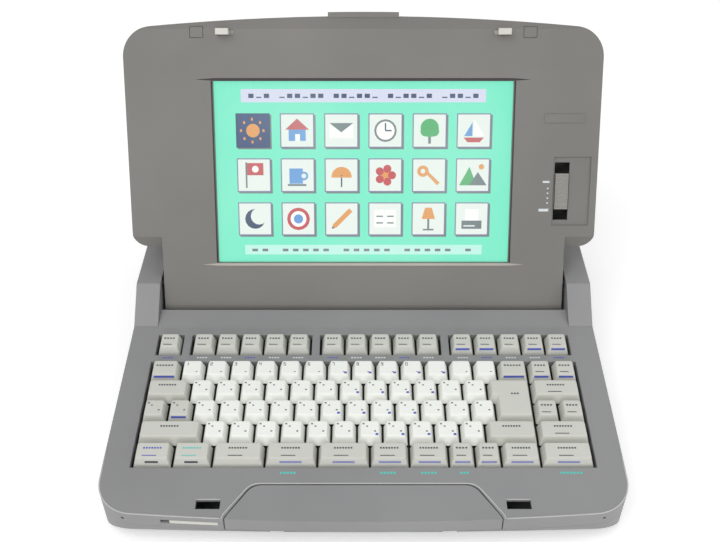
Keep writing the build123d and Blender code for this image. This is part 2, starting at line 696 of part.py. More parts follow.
def make_upper_shell():
    """Upper shell: the deck with its wells, hook slots and handle gap, and the two hinge towers."""
    far = HALF_WIDTH + WALL
    middle = prism_x(deck_profile(0), -far, far)
    towers = both_sides(prism_x(tower_profile(0, SPLIT_Y), TOWER_INNER_X, far))
    hollow = prism_x(deck_profile(WALL), -far, far)
    tower_hollows = both_sides(
        prism_x(tower_profile(WALL, SPLIT_Y), TOWER_INNER_X + WALL, far)
    )
    outside = (middle + towers) & plan_prism(0)
    bosses, pilots = upper_bosses(case_screw_places()[0])
    below_deck = DECK_FRAME * block((-far, far), (0, STRIP_BACK + WALL), (-REAR_HEIGHT, -WALL / 2))
    hanging = [boss & (outside + below_deck) for boss in bosses]
    shell = outside - ((hollow + tower_hollows) & plan_prism(WALL)) + hanging - pilots
    skirts = [DECK_FRAME * box for box in well_boxes(SKIRT_WALL, PLATE_TOP + SEAM_GAP, -WALL)]
    wells = [DECK_FRAME * box for box in well_boxes(0, PLATE_TOP, CAP_TOP)]
    slot = block(*centred(SLOT_X, SLOT_WIDTH / 2, *slot_span()), (-2 * WALL, WALL))
    slots = [DECK_FRAME * side for side in both_sides(slot)]
    handle_gap = DECK_FRAME * handle_prism(HANDLE_GAP, -LIP_HEIGHT - WALL, WALL)
    shell = shell + skirts - wells - slots - handle_gap
    bore_ends = (TOWER_INNER_X - CUT_EXTRA, TOWER_INNER_X + 2 * WALL)
    bore = rod_x(PIN_R + SKIN_GAP, *bore_ends, HINGE_Y, HINGE_Z)
    shell = shell - list(both_sides(bore)) - DECK_FRAME * catch_box(SKIN_GAP)
    write("upper_deck", shell - tower_region(SEAM_GAP))
    write("hinge_towers", *[shell & region for region in tower_region(0)])


def slot_span():
    """v of a hook slot, where the closed lid's hooks come down."""
    middle = HINGE_V - HOOK_S
    return middle - SLOT_DEPTH / 2, middle + SLOT_DEPTH / 2


def rear_edges(inset):
    """Side view of the rear housing above the seam."""
    front = SPLIT_Y + inset
    back = BACK_Y + WALL
    lower = -WALL if inset else 0
    return [
        (front, seam_z(front) + lower),
        (back, seam_z(back) + lower),
        (back, REAR_HEIGHT - inset),
        (front, REAR_HEIGHT - inset),
    ]


def make_rear_housing():
    """Upper shell over the printer, with the round trough that the lid's barrel turns in."""
    far = HALF_WIDTH + WALL
    box = (prism_x(rear_edges(0), -far, far) & plan_prism(0)) - (
        prism_x(rear_edges(WALL), -far, far) & plan_prism(WALL)
    )
    reach = TOWER_INNER_X - SKIN_GAP
    outer = rod_x(TROUGH_R + WALL, -reach, reach, HINGE_Y, HINGE_Z)
    bore = rod_x(TROUGH_R, -reach, reach, HINGE_Y, HINGE_Z)
    reach_box = block((-reach, reach), (FRONT_Y, SPLIT_Y), (GROUND_CLEARANCE, RAMP_FOOT_Z + WALL))
    above_ramp = prism_x(
        [(HINGE_Y, HINGE_Z), (RAMP_FOOT_Y, RAMP_FOOT_Z), (SPLIT_Y, RAMP_FOOT_Z), (SPLIT_Y, HINGE_Z)],
        -reach,
        reach,
    )
    under_strip = DECK_FRAME * block(
        (-HALF_WIDTH, HALF_WIDTH), (0, STRIP_BACK + 2 * WALL), (-WALL - SEAM_GAP, REAR_HEIGHT)
    )
    trough = ((outer - bore) & reach_box) - above_ramp - under_strip
    ramp = prism_x(
        [
            (RAMP_FOOT_Y, RAMP_FOOT_Z),
            (RAMP_TOP_Y, REAR_HEIGHT),
            (SPLIT_Y + WALL, REAR_HEIGHT),
            (RAMP_FOOT_Y + WALL * math.sin(RAMP_ANGLE), RAMP_FOOT_Z - WALL * math.cos(RAMP_ANGLE)),
        ],
        -reach,
        reach,
    )
    behind_ramp = block(
        (WALL - reach, reach - WALL),
        (SPLIT_Y - WALL, SPLIT_Y + 2 * WALL),
        (seam_z(SPLIT_Y) - WALL, REAR_HEIGHT - WALL),
    )
    housing = box - behind_ramp + trough + ramp
    cover_hole = block(
        (-COVER_HALF - COVER_GAP, COVER_HALF + COVER_GAP),
        (COVER_FRONT_Y - COVER_GAP, COVER_BACK_Y + COVER_GAP),
        (REAR_HEIGHT - 2 * WALL, REAR_HEIGHT + WALL),
    )
    paper_slot = block(
        (-PAPER_SLOT_HALF, PAPER_SLOT_HALF),
        (PAPER_SLOT_Y, PAPER_SLOT_Y + PAPER_SLOT_WIDTH),
        (REAR_HEIGHT - 2 * WALL, REAR_HEIGHT + WALL),
    )
    lever_slot = block(
        (LEVER_X - LEVER_THICKNESS / 2 - COVER_GAP, LEVER_X + LEVER_THICKNESS / 2 + COVER_GAP),
        (PRINTER_Y - LEVER_SLOT_HALF, PRINTER_Y + LEVER_SLOT_HALF),
        (REAR_HEIGHT - 2 * WALL, REAR_HEIGHT + WALL),
    )
    housing = housing - cover_hole - paper_slot - lever_slot - knob_bore()
    cover_ear = block(
        (COVER_HALF + COVER_GAP, COVER_HALF + COVER_GAP + 2 * WALL),
        (COVER_BACK_Y - 3 * COVER_BEAD_R, COVER_BACK_Y),
        (REAR_HEIGHT - WALL - COVER_EAR_DROP, REAR_HEIGHT - WALL),
    )
    ears = both_sides(cover_ear)
    bosses, pilots = upper_bosses(case_screw_places()[1])
    bosses = [boss & block((-far, far), (SPLIT_Y, BACK_Y), (0, REAR_HEIGHT - WALL / 2)) for boss in bosses]
    pin_y, pin_z = cover_pin_place()
    pin_bores = both_sides(
        rod_x(COVER_PIN_R + PIN_RUNNING_GAP, COVER_HALF, COVER_HALF + 3 * WALL, pin_y, pin_z)
    )
    write("rear_housing", housing + list(ears) + bosses - pilots - list(pin_bores))


def cover_pin_place():
    """Body-frame (y, z) of the printer cover's hinge pins."""
    return COVER_BACK_Y - COVER_BEAD_R, REAR_HEIGHT - COVER_BEAD_R


def knob_bore():
    """Round opening for the platen knob in the right side wall."""
    ends = (HALF_WIDTH - 2 * WALL, HALF_WIDTH + WALL)
    return rod_x(KNOB_R + KNOB_BORE_GAP, *ends, PRINTER_Y, PRINTER_Z)


def case_profile(inset):
    """Side view of the lower shell: undercut front, flat floor, upright back, seam on top."""
    above = WALL if inset else 0
    front = FRONT_Y + inset
    back = BACK_Y - inset
    return [
        (front, seam_z(front) + above),
        (front + UNDERCUT_DEPTH, GROUND_CLEARANCE + inset),
        (back, GROUND_CLEARANCE + inset),
        (back, seam_z(back) + above),
    ]


def drive_span():
    """Body-frame spans of the disk drive's body behind its bezel."""
    right = HALF_WIDTH - DRIVE_BEZEL
    bottom = FLOOR_Z + SKIN_GAP
    return (
        (right - DRIVE_LENGTH, right),
        (DRIVE_FRONT_Y, DRIVE_FRONT_Y + DRIVE_WIDTH),
        (bottom, bottom + DRIVE_HEIGHT),
    )


def inlet_span(margin):
    """Body-frame spans of the mains inlet's body, through the back wall."""
    return grown(
        [
            (INLET_X - INLET_WIDTH / 2, INLET_X + INLET_WIDTH / 2),
            (BACK_Y - INLET_DEPTH, BACK_Y),
            (FLOOR_Z + INLET_LIFT, FLOOR_Z + INLET_LIFT + INLET_HEIGHT),
        ],
        margin,
    )


def switch_span(margin):
    """Body-frame spans of the power switch's opening, through the left wall."""
    middle_z = FLOOR_Z + INLET_LIFT + SWITCH_WIDTH / 2
    return grown(
        [
            (-HALF_WIDTH, -HALF_WIDTH + SWITCH_DEPTH),
            (SWITCH_Y - SWITCH_LENGTH / 2, SWITCH_Y + SWITCH_LENGTH / 2),
            (middle_z - SWITCH_WIDTH / 2, middle_z + SWITCH_WIDTH / 2),
        ],
        margin,
    )


def case_screw_places():
    """Plan places of the screws that join the shells: under the deck, and under the rear housing."""
    side = HALF_WIDTH - BOSS_R - BOSS_SIDE_GAP
    deck_places = [(x, FRONT_Y + row) for row in SCREW_ROWS for x in (-side, side)]
    return deck_places, [(x, BACK_Y - REAR_SCREW_INSET) for x in (-side, side)]


def upper_bosses(places):
    """Screw bosses that hang from an upper shell down to the lower shell's bosses."""
    bosses = [rod_z(BOSS_R, x, y, BOSS_SPLIT_Z + SEAM_GAP, REAR_HEIGHT) for x, y in places]
    pilot_top = BOSS_SPLIT_Z + SCREW_BITE + SKIN_GAP
    pilots = [rod_z(SCREW_R, x, y, BOSS_SPLIT_Z, pilot_top) for x, y in places]
    return bosses, pilots


def make_bottom_case():
    """Lower shell with screw bosses, keyboard posts, handle guides and its wall openings."""
    far = HALF_WIDTH + WALL
    shell = (prism_x(case_profile(0), -far, far) & plan_prism(0)) - (
        prism_x(case_profile(WALL), -far, far) & plan_prism(WALL)
    )
    above_seam = (-LIP_HEIGHT - SEAM_GAP, 3 * LIP_HEIGHT)
    seam_cut = DECK_FRAME * block((-far, far), (-WALL, 2 * BODY_DEPTH), above_seam)
    screw_places = [place for group in case_screw_places() for place in group]
    bosses = [rod_z(BOSS_R, x, y, GROUND_CLEARANCE, BOSS_SPLIT_Z) for x, y in screw_places]
    backing_cut = DECK_FRAME * block((-far, far), (-WALL, BODY_DEPTH), (BACKING_BOTTOM, REAR_HEIGHT))
    half = FIELD_WIDTH / 2 - KEY_PITCH
    post_rows = [deck_to_body(v, 0)[0] for v in (WELL_FRONT + KEY_PITCH, FUNCTION_FRONT)]
    posts = [
        rod_z(BOSS_R, x, y, GROUND_CLEARANCE, REAR_HEIGHT) - backing_cut
        for x in (-half, half)
        for y in post_rows
    ]
    guide_y = deck_to_body(HANDLE_BACK + ARM_WIDTH, 0)[0]
    guide_half = ARM_WIDTH / 2 + SKIN_GAP + 2 * WALL
    arm_top = deck_to_body(HANDLE_BACK, -ARM_DEPTH + WALL)[1]
    guide_x = (ARM_X - guide_half, ARM_X + guide_half)
    guide = block(guide_x, (guide_y, guide_y + ARM_GUIDE_DEPTH), (GROUND_CLEARANCE, arm_top))
    guides = both_sides(guide)
    root_path = block(
        (ARM_X - ARM_WIDTH / 2 - SKIN_GAP, ARM_X + ARM_WIDTH / 2 + SKIN_GAP),
        (-2 * WALL, HANDLE_BACK + SKIN_GAP),
        (-ARM_DEPTH - ARM_THICKNESS - SKIN_GAP, 0),
    )
    channel = arm_block(SKIN_GAP, 0, BODY_DEPTH / 2) + root_path
    channels = [DECK_FRAME * side for side in both_sides(channel)]
    case = shell - seam_cut + bosses + posts + list(guides) - channels
    cuts = [block((HALF_WIDTH - 2 * WALL, far), *grown(drive_span()[1:], SKIN_GAP))]
    cuts += [block(*inlet_span(SKIN_GAP)), block(*switch_span(SKIN_GAP)), knob_bore()]
    head_top = GROUND_CLEARANCE + SCREW_HEAD_HEIGHT
    cuts += [rod_z(SCREW_R, x, y, 0, DECK_FRONT_HEIGHT) for x, y in screw_places]
    cuts += [rod_z(SCREW_HEAD_R + SKIN_GAP, x, y, 0, head_top) for x, y in screw_places]
    handle_gap = DECK_FRAME * handle_prism(HANDLE_GAP, -LIP_HEIGHT - SKIN_GAP, WALL)
    write("bottom_case", case - cuts - handle_gap)


def make_base_trim():
    """Rubber feet, case screws and the handle catch."""
    feet_y = (FRONT_Y + UNDERCUT_DEPTH + FRONT_FOOT_GAP, BACK_Y - FOOT_INSET)
    feet = [
        rod_z(FOOT_R, x, y, 0, GROUND_CLEARANCE)
        for x in (-HALF_WIDTH + FOOT_INSET, HALF_WIDTH - FOOT_INSET)
        for y in feet_y
    ]
    write("rubber_feet", *feet)
    head_top = GROUND_CLEARANCE + SCREW_HEAD_HEIGHT
    screws = []
    for x, y in [place for group in case_screw_places() for place in group]:
        head = rod_z(SCREW_HEAD_R, x, y, GROUND_CLEARANCE, head_top)
        shank = rod_z(SCREW_R - PIN_RUNNING_GAP, x, y, head_top, BOSS_SPLIT_Z + SCREW_BITE)
        screws.append(head + shank)
    write("case_screws", *screws)
    write("handle_catch", DECK_FRAME * catch_box(0) & plan_prism(0))


# ---------------------------------------------------------------- hinges
def make_hinges():
    """Steel pin and bracket in each tower; the pin reaches into the lid's barrel."""
    inner = LID_NECK_HALF - PIN_REACH_IN_LID
    wall_in = TOWER_INNER_X + WALL + SKIN_GAP
    bracket_y = (deck_to_body(TOWER_LEDGE, 0)[0] + BRACKET_SETBACK, SPLIT_Y - BRACKET_BACK_GAP)
    foot_top = HINGE_Z - BRACKET_DROP
    upright = (foot_top, REAR_HEIGHT - WALL - 2 * SEAM_GAP)
    bracket = block((wall_in, wall_in + BRACKET_THICKNESS), bracket_y, upright)
    foot_x = (wall_in, HALF_WIDTH - WALL - SKIN_GAP)
    foot = block(foot_x, bracket_y, (foot_top - BRACKET_THICKNESS, foot_top))
    bore_ends = (wall_in - CUT_EXTRA, wall_in + BRACKET_THICKNESS + CUT_EXTRA)
    bore = rod_x(PIN_R, *bore_ends, HINGE_Y, HINGE_Z)
    pin = rod_x(PIN_R, inner, wall_in + BRACKET_THICKNESS + PIN_HEAD, HINGE_Y, HINGE_Z)
    write("hinge_brackets", *both_sides(bracket + foot - bore))
    write("hinge_pins", *both_sides(pin))


# ---------------------------------------------------------------- lid
def lid_face(inset):
    """Front view of the lid: wide above the neck, bowed at the top, rounded corners."""
    half = LID_HALF - inset
    neck = LID_NECK_HALF - inset
    foot = LID_NECK_TOP + inset
    shoulder = LID_SHOULDER - inset
    edges = [
        Edge.make_line((half, foot), (half, shoulder)),
        Edge.make_three_point_arc((half, shoulder), (0, LID_CREST - inset), (-half, shoulder)),
        Edge.make_line((-half, shoulder), (-half, foot)),
        Edge.make_line((-half, foot), (-neck, foot)),
        Edge.make_line((-neck, foot), (-neck, -BARREL_R)),
        Edge.make_line((-neck, -BARREL_R), (neck, -BARREL_R)),
        Edge.make_line((neck, -BARREL_R), (neck, foot)),
        Edge.make_line((neck, foot), (half, foot)),
    ]
    face = Face(Wire(edges))
    tops = [vertex for vertex in face.vertices() if vertex.Y > SCREEN_MID]
    face = face.fillet_2d(LID_TOP_CORNER_R - inset, tops)
    feet = [
        vertex
        for vertex in face.vertices()
        if abs(vertex.X) > (half + neck) / 2 and vertex.Y < SCREEN_MID
    ]
    return face.fillet_2d(LID_FOOT_CORNER_R - inset, feet)


def lid_solid(inset):
    """The lid's whole outside, drawn in by the inset, in the lid frame."""
    depth = LID_FACE_OFFSET - LID_BACK_OFFSET - 2 * inset
    slab = extrude(lid_face(inset), amount=depth, dir=(0, 0, 1))
    slab = Pos(0, 0, LID_BACK_OFFSET + inset) * slab
    barrel = rod_x(BARREL_R - inset, -LID_HALF, LID_HALF, 0, 0)
    above_axis = block((-LID_HALF, LID_HALF), (0, 2 * LID_CREST), (-2 * BARREL_R, 2 * BARREL_R))
    face = LID_FACE_OFFSET - inset
    top_bevel = prism_x(
        [
            (LID_SHOULDER, face),
            (LID_SHOULDER + 3 * LID_BEVEL_DROP, face - 2 * LID_BEVEL_DROP),
            (LID_SHOULDER + 3 * LID_BEVEL_DROP, face + WALL),
            (LID_SHOULDER, face + WALL),
        ],
        -LID_HALF,
        LID_HALF,
    )
    foot_bevel = prism_x(
        [
            (LID_NECK_TOP - WALL, face - LID_FOOT_BEVEL),
            (LID_NECK_TOP, face - LID_FOOT_BEVEL),
            (LID_NECK_TOP + LID_FOOT_BEVEL_LENGTH, face),
            (LID_NECK_TOP + LID_FOOT_BEVEL_LENGTH, face + WALL),
            (LID_NECK_TOP - WALL, face + WALL),
        ],
        LID_NECK_HALF + SKIN_GAP,
        LID_HALF + WALL,
    )
    return slab & (barrel + above_axis) - top_bevel - list(both_sides(foot_bevel))


def lid_screen_box(margin, low, high):
    """Box over the display, grown by a margin all round."""
    half = SCREEN_WIDTH / 2 + margin
    s = (SCREEN_FOOT - margin, SCREEN_FOOT + SCREEN_HEIGHT + margin)
    return block((-half, half), s, (low, high))


def slider_box(width, length, low, high):
    """Box at the contrast slider's place."""
    x = (SLIDER_X - width / 2, SLIDER_X + width / 2)
    return block(x, (SLIDER_S - length / 2, SLIDER_S + length / 2), (low, high))


def hook_box(grow, low, high):
    """Section of the right hook, or of its slot, between two heights over the face."""
    half = HOOK_WIDTH / 2 + grow
    inward = HOOK_TRAVEL if grow else 0
    x = (HOOK_X - half - inward, HOOK_X + half)
    return block(x, (HOOK_S - HOOK_DEPTH / 2 - grow, HOOK_S + HOOK_DEPTH / 2 + grow), (low, high))


def button_box(grow):
    """The latch button, or the opening for it, in the top edge of the lid."""
    half = BUTTON_WIDTH / 2 + grow
    middle = (LID_FACE_OFFSET - LID_BEVEL_DROP + LID_SEAM_OFFSET) / 2
    n = (middle - BUTTON_THICKNESS / 2 - grow, middle + BUTTON_THICKNESS / 2 + grow)
    foot = LID_CREST - 3 * WALL - (BUTTON_TRAVEL if grow else 0)
    return block((-half, half), (foot, LID_CREST + BUTTON_RISE), n)


def pad_box(grow, low, high):
    """The right pad in the lid's face, or its pocket."""
    x = (PAD_X - PAD_WIDTH / 2 - grow, PAD_X + PAD_WIDTH / 2 + grow)
    return block(x, (HOOK_S - PAD_HEIGHT / 2 - grow, HOOK_S + PAD_HEIGHT / 2 + grow), (low, high))


def make_lid_shells():
    """Bezel and back shell, split behind the display."""
    outer = lid_solid(0)
    near_back = (LID_BACK_OFFSET - PIN_RUNNING_GAP, LID_BACK_OFFSET + PIN_RUNNING_GAP)
    back_edges = outer.edges().filter_by_position(Axis.Z, *near_back)
    back_rim = [edge for edge in back_edges if edge.center().Y > LID_NECK_TOP + WALL]
    outer = fillet(back_rim, LID_BACK_ROUND)
    inner = lid_solid(WALL)
    cheek = block(
        (LID_NECK_HALF - PIN_REACH_IN_LID - WALL, LID_NECK_HALF),
        (-BARREL_R, PIN_R + 2 * WALL),
        (LID_SEAM_OFFSET, LID_FACE_OFFSET),
    )
    cheeks = [side & outer for side in both_sides(cheek)]
    pin_end = LID_NECK_HALF - PIN_REACH_IN_LID - SKIN_GAP
    bores = both_sides(rod_x(PIN_R + PIN_RUNNING_GAP, pin_end, LID_HALF, 0, 0))
    plan = ((-LID_HALF, LID_HALF), (-2 * BARREL_R, 2 * LID_CREST))
    front_half = block(*plan, (LID_SEAM_OFFSET, BARREL_R))
    back_half = block(*plan, (-2 * BARREL_R, LID_SEAM_OFFSET))
    through = (LID_FACE_OFFSET - 2 * WALL, LID_FACE_OFFSET + WALL)
    bezel = ((outer - inner) & front_half) + cheeks
    recess_floor = LID_FACE_OFFSET - SLIDER_RECESS_DEPTH
    outward = (SLIDER_RECESS_WIDTH - SLIDER_SLOT_WIDTH) / 2 - SLIDER_RECESS_EDGE
    recess = Pos(outward, 0, 0) * slider_box(
        SLIDER_RECESS_WIDTH, SLIDER_RECESS_LENGTH, recess_floor, LID_FACE_OFFSET + WALL
    )
    bezel = bezel - lid_screen_box(0, *through) - recess - button_box(SKIN_GAP)
    bezel = bezel - slider_box(SLIDER_SLOT_WIDTH, SLIDER_SLOT_LENGTH, *through)
    bezel = bezel - list(both_sides(hook_box(SKIN_GAP, *through))) - list(bores)
    pockets = both_sides(pad_box(SKIN_GAP, LID_FACE_OFFSET - PAD_THICKNESS, LID_FACE_OFFSET + WALL))
    write("lid_bezel", LID_FRAME * (bezel - list(pockets)))
    write("lid_back_shell", LID_FRAME * (((outer - inner) & back_half) - button_box(SKIN_GAP)))


def make_display():
    """Window, display module with its lamp, and the two boards behind it."""
    window_top = LID_FACE_OFFSET - WALL
    panel_top = window_top - WINDOW_THICKNESS
    panel_bottom = panel_top - PANEL_THICKNESS
    write("lcd_window", LID_FRAME * lid_screen_box(WINDOW_OVERLAP, panel_top, window_top))
    lamp_s = SCREEN_FOOT - PANEL_OVERLAP / 2
    lamp_n = panel_top - PANEL_THICKNESS / 2
    half = SCREEN_WIDTH / 2
    panel = lid_screen_box(PANEL_OVERLAP, panel_bottom, panel_top)
    panel = panel - rod_x(LAMP_R + PIN_RUNNING_GAP, -half, half + 2 * PANEL_OVERLAP, lamp_s, lamp_n)
    write("lcd_panel", LID_FRAME * panel)
    write("backlight_lamp", LID_FRAME * rod_x(LAMP_R, -half + SKIN_GAP, half, lamp_s, lamp_n))
    board_n = (panel_bottom - SKIN_GAP - BOARD_THICKNESS, panel_bottom - SKIN_GAP)
    driver = block((-half / 2, half), (SCREEN_MID, SCREEN_MID + SCREEN_HEIGHT / 3), board_n)
    inverter = block((half / 3, half), (SCREEN_FOOT, SCREEN_FOOT + SCREEN_HEIGHT / 6), board_n)
    write("lid_boards", LID_FRAME * driver, LID_FRAME * inverter)


def make_lid_controls():
    """Contrast slider, hook slides, latch button and face pads."""
    under = LID_FACE_OFFSET - WALL
    bar_top = under - SKIN_GAP
    knob_size = (SLIDER_KNOB_WIDTH, SLIDER_KNOB_LENGTH)
    knob = slider_box(*knob_size, bar_top, LID_FACE_OFFSET + SLIDER_PROUD)
    flange_width = SLIDER_SLOT_WIDTH + 2 * WALL
    flange = slider_box(flange_width, SLIDER_KNOB_LENGTH, bar_top - SLIDER_FLANGE, bar_top)
    write("contrast_slider", LID_FRAME * (knob + flange))
    bar_bottom = bar_top - LATCH_BAR_THICKNESS
    inner_end = BUTTON_TRAVEL + WALL
    bar = block(
        (inner_end, HOOK_X + HOOK_WIDTH / 2),
        (HOOK_S - LATCH_BAR_HEIGHT / 2, HOOK_S + LATCH_BAR_HEIGHT / 2),
        (bar_bottom, bar_top),
    )
    hook = hook_box(0, bar_top, LID_FACE_OFFSET + HOOK_REACH)
    lip = block(
        (HOOK_X - HOOK_WIDTH / 2, HOOK_X + HOOK_WIDTH / 2),
        (HOOK_S - HOOK_DEPTH / 2, HOOK_S + HOOK_DEPTH / 2 + HOOK_LIP),
        (LID_FACE_OFFSET + HOOK_REACH - HOOK_LIP_HEIGHT, LID_FACE_OFFSET + HOOK_REACH),
    )
    for side, shape in zip(("right", "left"), both_sides(bar + hook + lip)):
        write("latch_slide_" + side, LID_FRAME * shape)
    crown = extrude(lid_face(-BUTTON_RISE), amount=2 * BARREL_R, dir=(0, 0, 1))
    write("latch_button", LID_FRAME * (button_box(0) & Pos(0, 0, LID_BACK_OFFSET) * crown))
    pad = pad_box(0, LID_FACE_OFFSET - PAD_THICKNESS, LID_FACE_OFFSET - PAD_SUNK)
    write("lid_pads", *[LID_FRAME * side for side in both_sides(pad)])


# ---------------------------------------------------------------- printer
def gear_solid(teeth, x0, x1, y, z, phase):
    """Spur gear on an axis along X; a tooth points along +Y where the phase is 0 degrees."""
    pitch_r = GEAR_MODULE * teeth / 2
    root_r = pitch_r - GEAR_DEDENDUM * GEAR_MODULE
    tip_r = pitch_r + GEAR_ADDENDUM * GEAR_MODULE
    step = 2 * math.pi / teeth
    points = []
    for tooth in range(teeth):
        middle = math.radians(phase) + tooth * step
        for radius, share in ((root_r, -0.36), (tip_r, -0.12), (tip_r, 0.12), (root_r, 0.36)):
            angle = middle + share * step
            points.append((y + radius * math.cos(angle), z + radius * math.sin(angle)))
    return prism_x(points, x0, x1)


def gear_places():
    """Body-frame (y, z) of the idler gear and of the motor pinion."""
    idler_y = PRINTER_Y + IDLER_REACH
    return (idler_y, PRINTER_Z), (idler_y + PINION_Y_STEP, PRINTER_Z + PINION_Z_STEP)


def make_platen():
    """Rubber roller on its shaft, with the gear at the left and the knob at the right."""
    half = PLATEN_LENGTH / 2
    knob_out = HALF_WIDTH + KNOB_PROUD
    knob_in = knob_out - KNOB_LENGTH
    shaft_left = PLATEN_GEAR_X - GEAR_WIDTH - SHAFT_END
    shaft = rod_x(SHAFT_R, shaft_left, knob_out - KNOB_FACE, PRINTER_Y, PRINTER_Z)
    sleeve = rod_x(PLATEN_R, -half, half, PRINTER_Y, PRINTER_Z) - shaft
    knob = rod_x(KNOB_R, knob_in, knob_out, PRINTER_Y, PRINTER_Z) - shaft
    gear_x = (PLATEN_GEAR_X - GEAR_WIDTH, PLATEN_GEAR_X)
    gear = gear_solid(PLATEN_TEETH, *gear_x, PRINTER_Y, PRINTER_Z, 0)
    write("platen_shaft", shaft)
    write("platen_roller", sleeve)
    write("platen_knob", knob)
    write("platen_gear", gear - shaft)


def make_feed_drive():
    """Idler gear on its stud, motor pinion and feed motor."""
    (idler_y, idler_z), (pinion_y, pinion_z) = gear_places()
    low, high = PLATEN_GEAR_X - GEAR_WIDTH, PLATEN_GEAR_X
    idler_phase = 180.0 + 180.0 / IDLER_TEETH
    idler = gear_solid(IDLER_TEETH, low, high, idler_y, idler_z, idler_phase)
    stud_r = SHAFT_R / 2
    bore_ends = (low - CUT_EXTRA, high + CUT_EXTRA)
    write("idler_gear", idler - rod_x(stud_r + PIN_RUNNING_GAP, *bore_ends, idler_y, idler_z))
    tooth_step = 360.0 / IDLER_TEETH
    turns = (PINION_ANGLE - idler_phase) / tooth_step
    ahead = (turns - round(turns)) * tooth_step
    pinion_phase = PINION_ANGLE + 180.0 + 180.0 / PINION_TEETH + ahead * IDLER_TEETH / PINION_TEETH
    pinion = gear_solid(PINION_TEETH, low, high, pinion_y, pinion_z, pinion_phase)
    plate_x = low - SHAFT_END - MOTOR_PLATE
    axle = rod_x(stud_r, plate_x - MOTOR_PLATE, low, pinion_y, pinion_z)
    write("motor_pinion", pinion + axle)
    motor = rod_x(MOTOR_R, plate_x - MOTOR_LENGTH, plate_x, pinion_y, pinion_z)
    socket_ends = (plate_x - MOTOR_PLATE - CUT_EXTRA, plate_x)
    socket = rod_x(stud_r + PIN_RUNNING_GAP, *socket_ends, pinion_y, pinion_z)
    write("feed_motor", motor - socket)


def make_printer_frame():
    """Bent steel frame: floor and two side plates that carry the shafts."""
    plate_back = FRAME_BACK_Y + FRAME_BACK_REACH
    outside = FRAME_HALF + FRAME_THICKNESS
    floor_z = (FRAME_FLOOR_Z, FRAME_FLOOR_Z + FRAME_THICKNESS)
    floor = block((-outside, outside), (FRAME_FRONT_Y, FRAME_BACK_Y), floor_z)
    side = block((FRAME_HALF, outside), (FRAME_FRONT_Y, plate_back), (FRAME_FLOOR_Z, FRAME_TOP_Z))
    (idler_y, idler_z), (pinion_y, pinion_z) = gear_places()
    plate_x = PLATEN_GEAR_X - GEAR_WIDTH - SHAFT_END
    motor_y = (pinion_y - MOTOR_R, pinion_y + MOTOR_R)
    tray_y = (FRAME_BACK_Y - WALL, motor_y[1])
    tray = block((plate_x - MOTOR_PLATE, -FRAME_HALF), tray_y, floor_z)
    plate_z = (FRAME_FLOOR_Z, pinion_z + MOTOR_R)
    motor_plate = block((plate_x - MOTOR_PLATE, plate_x), motor_y, plate_z)
    reach = 2 * FRAME_HALF
    shaft_bore = rod_x(SHAFT_R + PIN_RUNNING_GAP, -reach, reach, PRINTER_Y, PRINTER_Z)
    guide_bore = rod_x(SHAFT_R, -reach, reach, GUIDE_Y, GUIDE_Z)
    pinion_bore_r = SHAFT_R / 2 + PIN_RUNNING_GAP
    pinion_bore = rod_x(pinion_bore_r, -reach, -FRAME_HALF, pinion_y, pinion_z)
    stud = rod_x(SHAFT_R / 2, plate_x + SKIN_GAP, -FRAME_HALF, idler_y, idler_z)
    belt_z = belt_bottom()
    pulley_studs = [
        rod_z(SHAFT_R / 2, x, BELT_Y, floor_z[1] - SKIN_GAP, belt_z + BELT_WIDTH + SKIN_GAP)
        for x in (-PULLEY_X, PULLEY_X)
    ]
    frame = floor + list(both_sides(side)) + tray + motor_plate
    frame = frame - shaft_bore - guide_bore - pinion_bore + stud + pulley_studs
    write("printer_frame", frame)
    write("guide_shaft", rod_x(SHAFT_R, -outside, outside, GUIDE_Y, GUIDE_Z))


def make_carriage():
    """Carriage on its shaft, thermal head and ribbon cassette."""
    half = CARRIAGE_WIDTH / 2
    y = (GUIDE_Y - CARRIAGE_DEPTH / 2, GUIDE_Y + CARRIAGE_DEPTH / 2)
    z = (GUIDE_Z - CARRIAGE_HEIGHT / 2, GUIDE_Z + CARRIAGE_HEIGHT / 2)
    bore = rod_x(SHAFT_R + PIN_RUNNING_GAP, -half, half, GUIDE_Y, GUIDE_Z)
    carriage = block((-half, half), y, z) - bore
    belt_top = belt_bottom() + BELT_WIDTH
    clamp_y = (BELT_Y + PULLEY_R - BELT_THICKNESS, BELT_Y + PULLEY_R + 2 * BELT_THICKNESS)
    clamp = block((-half / 3, half / 3), clamp_y, (belt_top + SKIN_GAP, z[0]))
    write("print_carriage", carriage + clamp)
    face_y = PRINTER_Y - PLATEN_R - HEAD_GAP
    head_y = (face_y - HEAD_THICKNESS, face_y)
    arm = block((-half / 2, half / 2), (y[1], head_y[0]), (GUIDE_Z, GUIDE_Z + HEAD_THICKNESS))
    plate = block((-half / 2, half / 2), head_y, (GUIDE_Z - half / 4, z[1]))
    write("thermal_head", arm + plate)
    top = z[1] + CASSETTE_HEIGHT
    cassette_y = (y[0] - CASSETTE_OVERHANG, y[1] - SKIN_GAP)
    cassette = block((-half, half), cassette_y, (z[1], top))
    spool_z = (top - CUT_EXTRA, top + SPOOL_PROUD)
    spools = [
        rod_z(SPOOL_R, x, GUIDE_Y - CASSETTE_OVERHANG, *spool_z) for x in (-half / 2, half / 2)
    ]
    write("ribbon_cassette", cassette + spools)


def belt_bottom():
    """Height of the belt's lower edge, just over the frame's floor."""
    return FRAME_FLOOR_Z + FRAME_THICKNESS + SKIN_GAP


